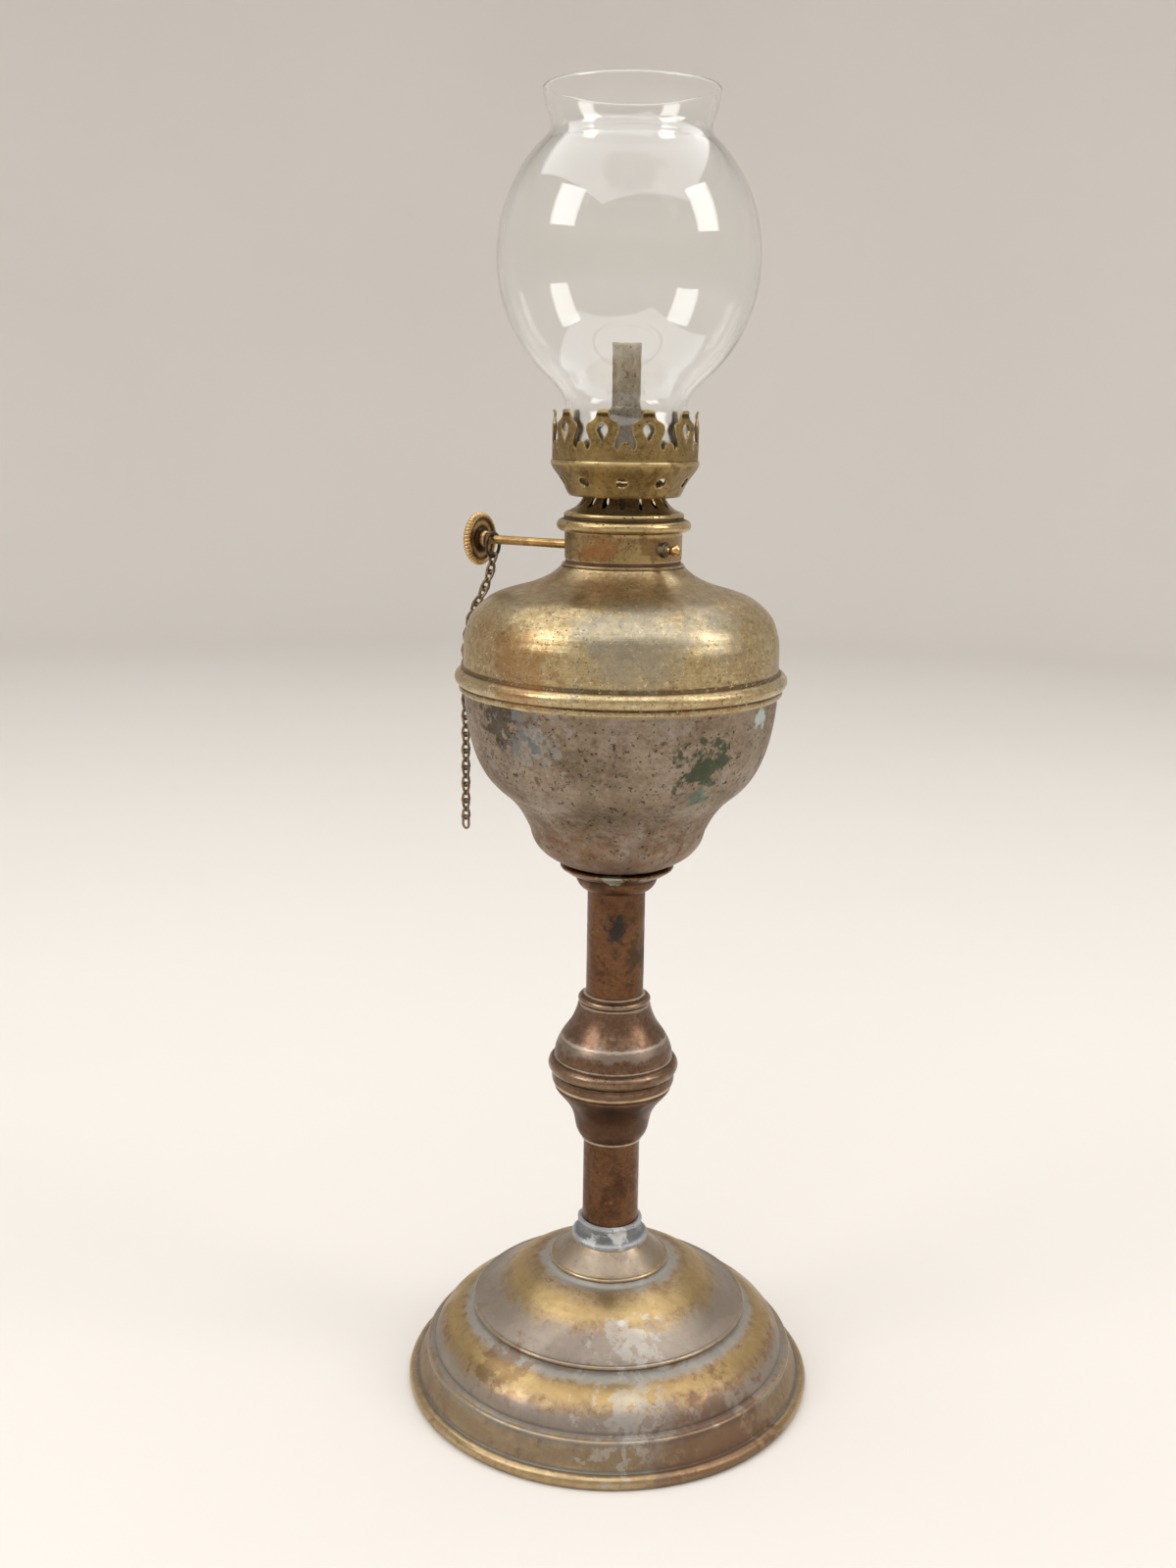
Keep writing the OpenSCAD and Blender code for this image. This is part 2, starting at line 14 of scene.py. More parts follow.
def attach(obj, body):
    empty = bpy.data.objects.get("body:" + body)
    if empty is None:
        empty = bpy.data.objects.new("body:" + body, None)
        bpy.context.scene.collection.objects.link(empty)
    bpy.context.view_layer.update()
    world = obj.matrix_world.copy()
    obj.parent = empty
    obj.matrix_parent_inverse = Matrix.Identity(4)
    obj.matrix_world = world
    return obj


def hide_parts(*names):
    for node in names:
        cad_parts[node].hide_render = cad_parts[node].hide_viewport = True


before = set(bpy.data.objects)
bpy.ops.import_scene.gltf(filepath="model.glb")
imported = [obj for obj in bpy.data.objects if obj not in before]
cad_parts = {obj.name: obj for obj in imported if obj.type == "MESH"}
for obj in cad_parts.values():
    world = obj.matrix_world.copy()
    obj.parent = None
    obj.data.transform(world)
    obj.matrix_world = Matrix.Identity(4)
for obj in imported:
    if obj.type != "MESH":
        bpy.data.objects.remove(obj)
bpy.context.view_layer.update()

MM = 0.001
TURN = 2 * math.pi
VIEW_AZIMUTH = 29.0
SHARP_ANGLE = math.radians(38)
WINDER_Y = -4.8
WINDER_Z = 229.7


# ---- outlines ----------------------------------------------------------------

def cubic(a, b, c, d, n=24):
    """Cubic curve from a to d pulled towards b and c: s3 a + 3 s2 t b + 3 s t2 c + t3 d."""
    t = np.linspace(0, 1, n)[:, None]
    s = 1 - t
    a, b, c, d = (np.array(p, float) for p in (a, b, c, d))
    return s**3 * a + 3 * s**2 * t * b + 3 * s * t**2 * c + t**3 * d


def arc(r, z, radius, start, end, n=16):
    """Arc about (r, z): centre plus radius times (cos w, sin w), w in degrees."""
    w = np.radians(np.linspace(start, end, n))
    return np.stack([r + radius * np.cos(w), z + radius * np.sin(w)], 1)


def path(*parts):
    """Joins curves and single points into one outline."""
    return np.concatenate([np.atleast_2d(np.array(p, float)) for p in parts])


def dense(outline, step):
    """Adds evenly spaced points on every side of an outline that is longer than step."""
    sides = np.diff(outline, axis=0)
    lengths = np.hypot(sides[:, 0], sides[:, 1])
    keep = np.r_[True, lengths > 1e-6]
    outline = outline[keep]
    sides = np.diff(outline, axis=0)
    counts = np.maximum(1, np.ceil(np.hypot(sides[:, 0], sides[:, 1]) / step)).astype(int)
    which = np.repeat(np.arange(len(counts)), counts)
    first = np.repeat(np.cumsum(counts) - counts, counts)
    part = (np.arange(counts.sum()) - first) / counts[which]
    return np.concatenate([outline[which] + part[:, None] * sides[which], outline[-1:]])


def softened(outline, rounds=2):
    """Cuts each corner of an outline at a quarter and three quarters of its sides."""
    for _ in range(rounds):
        a, b = outline[:-1], outline[1:]
        cut = np.stack([0.75 * a + 0.25 * b, 0.25 * a + 0.75 * b], 1).reshape(-1, 2)
        outline = np.concatenate([outline[:1], cut, outline[-1:]])
    return outline


def smooth_run(outline, reach):
    """Running mean of an outline over a few points, with its ends held."""
    weights = np.ones(2 * reach + 1) / (2 * reach + 1)
    padded = np.concatenate([np.repeat(outline[:1], reach, 0), outline, np.repeat(outline[-1:], reach, 0)])
    return np.stack([np.convolve(padded[:, i], weights, "valid") for i in (0, 1)], 1)


def inner_side(outline, t):
    """The outline moved to its left by t: point plus t times its left-hand normal."""
    ahead = np.concatenate([outline[1:], outline[-1:]])
    behind = np.concatenate([outline[:1], outline[:-1]])
    along = ahead - behind
    along /= np.hypot(along[:, 0], along[:, 1])[:, None]
    return outline + t * np.stack([-along[:, 1], along[:, 0]], 1)


def relief_of(loop, closed, reach=1.1):
    """How far each point stands out of the middle of its two neighbours at the given reach.

    Positive on edges and negative in grooves, as a part of the reach.
    """
    sides = np.hypot(*np.diff(loop, axis=0).T)
    run = np.r_[0, np.cumsum(sides)]
    total = run[-1]

    def at(s):
        s = s % total if closed else np.clip(s, 0, total)
        return np.stack([np.interp(s, run, loop[:, 0]), np.interp(s, run, loop[:, 1])], 1)

    before, after = at(run - reach), at(run + reach)
    along = after - before
    along /= np.maximum(np.hypot(along[:, 0], along[:, 1]), 1e-9)[:, None]
    out = np.stack([along[:, 1], -along[:, 0]], 1)
    return np.clip(((loop - (before + after) / 2) * out).sum(1) / reach, -1, 1)


# ---- meshes ------------------------------------------------------------------

def mesh_piece(name, points, faces, relief=None):
    """Makes an object from an array of points in mm and a list of face arrays."""
    mesh = bpy.data.meshes.new(name)
    faces = [np.asarray(f) for f in faces if len(f)]
    corners = np.concatenate([f.ravel() for f in faces])
    sizes = np.concatenate([np.full(len(f), f.shape[1]) for f in faces])
    mesh.vertices.add(len(points))
    mesh.vertices.foreach_set("co", (points * MM).astype(np.float32).ravel())
    mesh.loops.add(len(corners))
    mesh.loops.foreach_set("vertex_index", corners.astype(np.int32))
    mesh.polygons.add(len(sizes))
    mesh.polygons.foreach_set("loop_start", np.r_[0, np.cumsum(sizes)[:-1]].astype(np.int32))
    mesh.update(calc_edges=True)
    mesh.validate()
    mesh.shade_smooth()
    mesh.set_sharp_from_angle(angle=SHARP_ANGLE)
    if relief is not None:
        mark = mesh.attributes.new("relief", "FLOAT", "POINT")
        mark.data.foreach_set("value", relief.astype(np.float32))
    piece = bpy.data.objects.new(name, mesh)
    bpy.context.scene.collection.objects.link(piece)
    return piece


def around_z(r, h, turn):
    """Point at radius r and height h: (r cos w, r sin w, h)."""
    return np.stack([r * np.cos(turn), r * np.sin(turn), h], -1)


def around_winder(r, h, turn):
    """The same about the winder's axis, with h along +X."""
    return np.stack([h, WINDER_Y + r * np.cos(turn), WINDER_Z + r * np.sin(turn)], -1)


def lathe(name, outline, around=256, step=0.6, bend=None, place=around_z):
    """Surface of revolution of a closed outline: place(r, h, w) for w from 0 to a full turn.

    An outline that starts and ends on the axis gets a single vertex at each pole. bend may
    change r and h as a function of r, h and w.
    """
    outline = np.asarray(outline, float)
    poles = outline[0, 0] < 1e-6 and outline[-1, 0] < 1e-6
    if not poles:
        outline = np.concatenate([outline, outline[:1]])
    loop = dense(outline, step)
    relief = relief_of(loop, not poles)
    turn = np.linspace(0, TURN, around, endpoint=False)[None, :]
    rings = loop[1:-1] if poles else loop[:-1]
    marks = relief[1:-1] if poles else relief[:-1]
    r, h = np.repeat(rings[:, :1], around, 1), np.repeat(rings[:, 1:], around, 1)
    if bend is not None:
        r, h = bend(r, h, turn)
    points = place(r, h, turn + 0 * r).reshape(-1, 3)
    index = np.arange(len(rings) * around).reshape(len(rings), around)
    if not poles:
        index = np.concatenate([index, index[:1]])
    a, b = index[:-1], index[1:]
    quads = np.stack([a, np.roll(a, -1, 1), np.roll(b, -1, 1), b], -1).reshape(-1, 4)
    marks = np.repeat(marks, around)
    if not poles:
        return mesh_piece(name, points, [quads], marks)
    ends = np.stack([place(np.zeros(1), loop[i, 1:], np.zeros(1))[0] for i in (0, -1)])
    first, last = len(points), len(points) + 1
    low, high = index[0], index[-1]
    caps = np.concatenate([
        np.stack([np.full(around, first), np.roll(low, -1), low], 1),
        np.stack([high, np.roll(high, -1), np.full(around, last)], 1)])
    return mesh_piece(name, np.concatenate([points, ends]), [quads, caps],
                      np.r_[marks, relief[0], relief[-1]])


def inside(points, polygon):
    """Even-odd test of many points against one polygon, as whole arrays."""
    x, y = points[:, 0][:, None], points[:, 1][:, None]
    ax, ay = polygon[:, 0][None], polygon[:, 1][None]
    bx, by = np.roll(polygon[:, 0], -1)[None], np.roll(polygon[:, 1], -1)[None]
    with np.errstate(divide="ignore", invalid="ignore"):
        cross = ((ay > y) != (by > y)) & (x < (bx - ax) * (y - ay) / (by - ay) + ax)
    return cross.sum(1) % 2 == 1


def blank_triangles(border, holes, cell):
    """Triangles of a flat blank: its border and holes plus a grid of points between them."""
    loops = [dense(np.concatenate([p, p[:1]]), cell)[:-1] for p in [border] + holes]
    rim = np.concatenate(loops)
    low, high = border.min(0), border.max(0)
    gx = np.arange(low[0] + cell / 2, high[0], cell)
    gy = np.arange(low[1] + cell / 2, high[1], cell)
    grid = np.stack(np.meshgrid(gx, gy), -1).reshape(-1, 2)
    keep = inside(grid, loops[0])
    for hole in loops[1:]:
        keep &= ~inside(grid, hole)
    grid = grid[keep]
    gap = np.hypot(*(grid[:, None] - rim[None]).transpose(2, 0, 1)).min(1)
    grid = grid[gap > 0.45 * cell]
    edges, start = [], 0
    for loop in loops:
        ids = np.arange(start, start + len(loop))
        edges += np.stack([ids, np.roll(ids, -1)], 1).tolist()
        start += len(loop)
    flat = [Vector(p) for p in np.concatenate([rim, grid]).tolist()]
    made = delaunay_2d_cdt(flat, edges, [], 1, 1e-6)
    points = np.array([tuple(v) for v in made[0]])
    tris = np.array(made[2])
    middle = points[tris].mean(1)
    keep = inside(middle, loops[0])
    for hole in loops[1:]:
        keep &= ~inside(middle, hole)
    tris = tris[keep]
    a, b, c = (points[tris[:, i]] for i in range(3))
    area = (b - a)[:, 0] * (c - a)[:, 1] - (b - a)[:, 1] * (c - a)[:, 0]
    tris[area < 0] = tris[area < 0][:, ::-1]
    return points, tris


def cut_sheet(name, wall, ref, border, holes, repeats, first_deg, cell, thickness, lean=None):
    """Sheet wrapped round the axis, with cut-outs, from one blank repeated round the circle.

    Blank x is the way round at radius ref, so the angle is x / ref; blank y is the length
    along the outline wall, which gives r and h. The inside is the same moved by thickness
    along the wall's inward normal, and the cut edges are closed by strips.
    """
    flat, tris = blank_triangles(np.asarray(border, float), [np.asarray(h, float) for h in holes], cell)
    wall = dense(wall, 0.15)
    run = np.r_[0, np.cumsum(np.hypot(*np.diff(wall, axis=0).T))]
    back = inner_side(wall, thickness)
    turns = np.radians(first_deg) + TURN / repeats * np.arange(repeats)
    x = np.tile(flat[:, 0] / ref, repeats) + np.repeat(turns, len(flat))
    y = np.tile(flat[:, 1], repeats)
    marks = relief_of(wall, False)
    shell = []
    for side in (wall, back):
        r, h = np.interp(y, run, side[:, 0]), np.interp(y, run, side[:, 1])
        if lean is not None:
            r = r + lean(np.tile(flat[:, 0], repeats), y)
        shell.append(around_z(r, h, x))
    faces = (tris[None] + (np.arange(repeats) * len(flat))[:, None, None]).reshape(-1, 3)
    _, first, same = np.unique(np.round(shell[0], 4), axis=0, return_index=True, return_inverse=True)
    faces = same.ravel()[faces]
    front, rear = shell[0][first], shell[1][first]
    relief = np.interp(y, run, marks)[first]
    count = len(front)
    sides = np.concatenate([faces[:, [0, 1]], faces[:, [1, 2]], faces[:, [2, 0]]])
    key = sides[:, 0].astype(np.int64) * count + sides[:, 1]
    twin = sides[:, 1].astype(np.int64) * count + sides[:, 0]
    rim = sides[~np.isin(key, twin)]
    strips = np.stack([rim[:, 1], rim[:, 0], rim[:, 0] + count, rim[:, 1] + count], 1)
    relief[np.unique(rim)] = 0.7
    return mesh_piece(name, np.concatenate([front, rear]),
                      [faces, faces[:, ::-1] + count, strips], np.r_[relief, relief])


def uneven(amount, seed):
    """Slight dents of hand work: a sum of slow waves round and up the wall, inwards only."""
    def bend(r, h, turn):
        wave = (np.sin(2 * turn + 1.3 * seed + h / 19) + 0.7 * np.sin(3 * turn - 2.1 * seed - h / 13)
                + 0.5 * np.sin(7 * turn + seed + h / 7) + 0.35 * np.sin(13 * turn - seed + h / 4.3))
        return r - amount * (wave + 2.55) / 5.1 * np.minimum(1, r / 5), h
    return bend


def facing(radius, across, height):
    """Point on a circle about the axis, on the side towards the main view, in metres.

    across is its distance to the right of the axis as seen from there.
    """
    a = math.radians(VIEW_AZIMUTH)
    deep = math.sqrt(max(radius**2 - across**2, 0))
    x = across * math.cos(a) + deep * math.sin(a)
    y = across * math.sin(a) - deep * math.cos(a)
    return (x * MM, y * MM, height * MM)


# ---- nodes -------------------------------------------------------------------

def tone(r, g, b):
    """Linear colour from screen values of 0 to 255."""
    c = np.array([r, g, b]) / 255
    c = np.where(c <= 0.04045, c / 12.92, ((c + 0.055) / 1.055) ** 2.4)
    return (*c.tolist(), 1.0)


def put(tree, kind, inputs=None, **settings):
    """Adds a node, sets its settings, and sets or links its inputs."""
    made = tree.nodes.new(kind)
    for key, value in settings.items():
        setattr(made, key, value)
    for key, value in (inputs or {}).items():
        if isinstance(value, bpy.types.NodeSocket):
            tree.links.new(value, made.inputs[key])
        else:
            made.inputs[key].default_value = value
    return made


def calc(tree, operation, a, b=0.0):
    return put(tree, "ShaderNodeMath", {0: a, 1: b}, operation=operation).outputs[0]


def times(tree, a, b):
    return calc(tree, "MULTIPLY", a, b)


def plus(tree, a, b):
    return calc(tree, "ADD", a, b)


def minus(tree, a, b):
    return calc(tree, "SUBTRACT", a, b)


def mask(tree, value, low, high, to_low=0.0, to_high=1.0):
    """Smooth step of a value from low to high."""
    made = put(tree, "ShaderNodeMapRange", {0: value, 1: low, 2: high, 3: to_low, 4: to_high},
               interpolation_type="SMOOTHSTEP")
    return made.outputs[0]


def blend(tree, factor, a, b, mode="MIX"):
    made = put(tree, "ShaderNodeMix", data_type="RGBA", blend_type=mode)
    for slot, value in ((0, factor), (6, a), (7, b)):
        if isinstance(value, bpy.types.NodeSocket):
            tree.links.new(value, made.inputs[slot])
        else:
            made.inputs[slot].default_value = value
    return made.outputs[2]


def noise(tree, vector, scale, detail=4.0, rough=0.6, warp=0.0):
    made = put(tree, "ShaderNodeTexNoise", {"Vector": vector, "Scale": scale, "Detail": detail,
                                            "Roughness": rough, "Distortion": warp})
    return made.outputs[0]


def new_group(name, inputs, outputs):
    group = bpy.data.node_groups.new(name, "ShaderNodeTree")
    for label, kind, value in inputs:
        socket = group.interface.new_socket(name=label, in_out="INPUT", socket_type=kind)
        if value is not None:
            socket.default_value = value
    for label in outputs:
        group.interface.new_socket(name=label, in_out="OUTPUT", socket_type="NodeSocketFloat")
    entry = group.nodes.new("NodeGroupInput").outputs
    leave = group.nodes.new("NodeGroupOutput").inputs
    return group, entry, leave


def use(tree, group, **values):
    """Places a shared group; a socket's name is given with _ for each space."""
    made = tree.nodes.new("ShaderNodeGroup")
    made.node_tree = group
    for key, value in values.items():
        socket = made.inputs[key.replace("_", " ")]
        if isinstance(value, bpy.types.NodeSocket):
            tree.links.new(value, socket)
        else:
            socket.default_value = value
    return made.outputs


VECTOR, FLOAT = "NodeSocketVector", "NodeSocketFloat"


def mottling_group():
    """Clouded tarnish at two sizes: broad clouds and a fine grain inside them."""
    group, entry, leave = new_group("mottling", [("Vector", VECTOR, None), ("Scale", FLOAT, 60.0)],
                                    ["Clouds", "Grain"])
    clouds = noise(group, entry["Vector"], entry["Scale"], 5.0, 0.62, 0.7)
    group.links.new(mask(group, clouds, 0.34, 0.66), leave["Clouds"])
    fine = times(group, entry["Scale"], 11.0)
    grain = noise(group, entry["Vector"], fine, 4.0, 0.72)
    group.links.new(mask(group, grain, 0.3, 0.7), leave["Grain"])
    return group


def turning_group():
    """Marks of the spinning tool: noise that follows radius and height and hardly the angle."""
    group, entry, leave = new_group("turning marks", [("Vector", VECTOR, None), ("Scale", FLOAT, 900.0)],
                                    ["Lines"])
    parts = put(group, "ShaderNodeSeparateXYZ", {0: entry["Vector"]}).outputs
    squares = plus(group, times(group, parts[0], parts[0]),
                   times(group, parts[1], parts[1]))
    radius = calc(group, "SQRT", squares)
    angle = times(group, calc(group, "ARCTAN2", parts[1], parts[0]), 0.0016)
    turned = put(group, "ShaderNodeCombineXYZ", {0: radius, 1: parts[2], 2: angle}).outputs[0]
    lines = noise(group, turned, entry["Scale"], 3.0, 0.65)
    group.links.new(mask(group, lines, 0.33, 0.67), leave["Lines"])
    return group


def pitting_group():
    """Round pits of many sizes, thinned out by a slow noise; Amount 0 to 1."""
    group, entry, leave = new_group(
        "pitting", [("Vector", VECTOR, None), ("Scale", FLOAT, 900.0), ("Amount", FLOAT, 0.5)], ["Pits"])
    cells = put(group, "ShaderNodeTexVoronoi", {"Vector": entry["Vector"], "Scale": entry["Scale"]})
    size = put(group, "ShaderNodeSeparateColor", {0: cells.outputs["Color"]}).outputs[0]
    limit = times(group, calc(group, "POWER", size, 2.5), 0.42)
    depth = minus(group, limit, cells.outputs["Distance"])
    dots = mask(group, depth, 0.0, 0.12)
    slow = times(group, entry["Scale"], 0.09)
    where = noise(group, entry["Vector"], slow, 3.0, 0.6)
    share = minus(group, 0.85, times(group, entry["Amount"], 0.7))
    group.links.new(times(group, dots, mask(group, minus(group, where, share),
                                                       -0.06, 0.08)), leave["Pits"])
    return group


def scratch_group():
    """Thin bright lines in two slanting directions: narrow bands of a stretched noise."""
    group, entry, leave = new_group(
        "scratches", [("Vector", VECTOR, None), ("Scale", FLOAT, 60.0), ("Amount", FLOAT, 0.5)], ["Lines"])
    total = None
    for tilt, spin in ((0.5, 0.4), (-0.9, 1.7)):
        laid = put(group, "ShaderNodeMapping",
                   {"Vector": entry["Vector"], "Rotation": (tilt, spin, 0.3 * spin),
                    "Scale": (0.35, 2.6, 2.6)}).outputs[0]
        band = noise(group, laid, entry["Scale"], 2.0, 0.5, 0.15)
        thin = calc(group, "ABSOLUTE", minus(group, band, 0.5))
        line = mask(group, thin, 0.006, 0.0)
        part = mask(group, noise(group, entry["Vector"], times(group, entry["Scale"], 3.1)),
                    minus(group, 0.78, times(group, entry["Amount"], 0.4)), 0.85)
        line = times(group, line, part)
        total = line if total is None else calc(group, "MAXIMUM", total, line)
    group.links.new(total, leave["Lines"])
    return group


def wear_group():
    """Bright worn edges and dark grooves from the relief value, both broken up by noise."""
    group, entry, leave = new_group(
        "edge wear", [("Relief", FLOAT, 0.0), ("Vector", VECTOR, None), ("Scale", FLOAT, 400.0)],
        ["Worn", "Grime"])
    broken = minus(group, noise(group, entry["Vector"], entry["Scale"], 4.0, 0.65), 0.5)
    raised = plus(group, entry["Relief"], times(group, broken, 0.35))
    group.links.new(mask(group, raised, 0.1, 0.42), leave["Worn"])
    sunk = minus(group, times(group, broken, 0.25), entry["Relief"])
    group.links.new(mask(group, sunk, 0.03, 0.26), leave["Grime"])
    return group


def frayed(group, entry, away, reach, detail, rough):
    """One minus a distance over its reach, broken up by noise in the measure of Ragged."""
    near = minus(group, 1.0, calc(group, "DIVIDE", away, reach))
    rag = minus(group, noise(group, entry["Vector"], entry["Scale"], detail, rough), 0.5)
    return plus(group, near, times(group, times(group, rag, 3.0), entry["Ragged"]))


def stain_group():
    """A ragged patch round one point: one minus the distance over the radius, plus noise."""
    group, entry, leave = new_group(
        "local stain", [("Vector", VECTOR, None), ("Centre", VECTOR, None), ("Radius", FLOAT, 0.01),
                        ("Ragged", FLOAT, 0.6), ("Scale", FLOAT, 250.0)], ["Patch"])
    away = put(group, "ShaderNodeVectorMath", {0: entry["Vector"], 1: entry["Centre"]},
               operation="DISTANCE").outputs["Value"]
    near = frayed(group, entry, away, entry["Radius"], 5.0, 0.65)
    group.links.new(mask(group, near, 0.05, 0.5), leave["Patch"])
    return group


def blotch_group():
    """Irregular frayed blotches: a warped noise above a level, soft over the given step."""
    group, entry, leave = new_group(
        "blotches", [("Vector", VECTOR, None), ("Scale", FLOAT, 100.0), ("Level", FLOAT, 0.55),
                     ("Soft", FLOAT, 0.05)], ["Patch"])
    field = noise(group, entry["Vector"], entry["Scale"], 8.0, 0.68, 0.9)
    top = plus(group, entry["Level"], entry["Soft"])
    group.links.new(mask(group, field, entry["Level"], top), leave["Patch"])
    return group


def band_group():
    """A ragged ring at one height: one minus the height's distance over the half width, plus noise."""
    group, entry, leave = new_group(
        "ring band", [("Vector", VECTOR, None), ("Height", FLOAT, 0.0), ("Half width", FLOAT, 0.001),
                      ("Ragged", FLOAT, 0.5), ("Scale", FLOAT, 300.0)], ["Patch"])
    height = put(group, "ShaderNodeSeparateXYZ", {0: entry["Vector"]}).outputs[2]
    away = calc(group, "ABSOLUTE", minus(group, height, entry["Height"]))
    near = frayed(group, entry, away, entry["Half width"], 6.0, 0.66)
    group.links.new(mask(group, near, 0.0, 0.7), leave["Patch"])
    return group


MOTTLING, TURNING, PITTING = mottling_group(), turning_group(), pitting_group()
SCRATCHES, EDGE_WEAR, STAIN = scratch_group(), wear_group(), stain_group()
BLOTCHES, RING_BAND = blotch_group(), band_group()


# ---- finishes ----------------------------------------------------------------

def new_material(name):
    material = bpy.data.materials.new(name)
    material.use_nodes = True
    tree = material.node_tree
    shader = tree.nodes["Principled BSDF"]
    place = tree.nodes.new("ShaderNodeTexCoord").outputs["Object"]
    return material, tree, shader, place


IN_MM = ("Height", "Half_width", "Radius")


def aged_metal(name, tones, cloud=55.0, rough=(0.3, 0.55), metallic=0.95, lines=0.3, line_scale=900.0,
               pits=0.4, pit_scale=900.0, scratches=0.4, scratch_scale=70.0, wear=0.8, dirt=0.9,
               blotches=(), bands=(), stains=(), bump=0.4):
    """Tarnished metal: five tones (main, pale, dark, bright, grime), tool marks, pits and scratches.

    blotches is a list of (tone, scale, level, softness, strength, extra roughness), bands one of
    (tone, height in mm, half width in mm, ragged, strength, extra roughness) and stains one of
    (tone, centre in metres, radius in mm, ragged, strength, extra roughness). Besides real marks,
    some bands and blotches are painted highlights, glints and shade.
    """
    main, pale, dark, bright, grime = (tone(*values) for values in tones)
    material, tree, shader, place = new_material(name)
    relief = put(tree, "ShaderNodeAttribute", attribute_name="relief").outputs["Fac"]
    mottle = use(tree, MOTTLING, Vector=place, Scale=cloud)
    marks = use(tree, TURNING, Vector=place, Scale=line_scale)["Lines"]
    pitted = use(tree, PITTING, Vector=place, Scale=pit_scale, Amount=pits)["Pits"]
    scored = use(tree, SCRATCHES, Vector=place, Scale=scratch_scale, Amount=scratches)["Lines"]
    edges = use(tree, EDGE_WEAR, Vector=place, Relief=relief, Scale=420.0)
    colour = blend(tree, mottle["Clouds"], main, dark)
    colour = blend(tree, times(tree, mottle["Grain"], 0.55), colour, pale)
    colour = blend(tree, times(tree, marks, lines), colour, dark)
    colour = blend(tree, times(tree, edges["Grime"], dirt), colour, grime)
    colour = blend(tree, times(tree, edges["Worn"], wear), colour, bright)
    colour = blend(tree, scored, colour, bright)
    colour = blend(tree, times(tree, pitted, 0.85), colour, grime)
    roughness = mask(tree, mottle["Clouds"], 0.0, 1.0, rough[0], rough[1])
    roughness = plus(tree, roughness, times(tree, edges["Grime"], 0.18))
    roughness = minus(tree, roughness, times(tree, edges["Worn"], 0.1))
    kinds = ((BLOTCHES, ("Scale", "Level", "Soft"), blotches),
             (RING_BAND, ("Height", "Half_width", "Ragged"), bands),
             (STAIN, ("Centre", "Radius", "Ragged"), stains))
    for group, labels, rows in kinds:
        for tint, *values, strength, duller in rows:
            given = {label: value * MM if label in IN_MM else value for label, value in zip(labels, values)}
            patch = times(tree, use(tree, group, Vector=place, **given)["Patch"], strength)
            colour = blend(tree, patch, colour, tone(*tint))
            roughness = plus(tree, roughness, times(tree, patch, duller))
    height = times(tree, marks, 0.5 * lines)
    height = plus(tree, height, times(tree, mottle["Grain"], 0.35))
    height = minus(tree, height, pitted)
    height = minus(tree, height, times(tree, scored, 0.4))
    raised = put(tree, "ShaderNodeBump", {"Height": height, "Strength": bump, "Distance": 0.0001})
    tree.links.new(colour, shader.inputs["Base Color"])
    tree.links.new(calc(tree, "MAXIMUM", roughness, 0.12), shader.inputs["Roughness"])
    tree.links.new(raised.outputs[0], shader.inputs["Normal"])
    shader.inputs["Metallic"].default_value = metallic
    return material


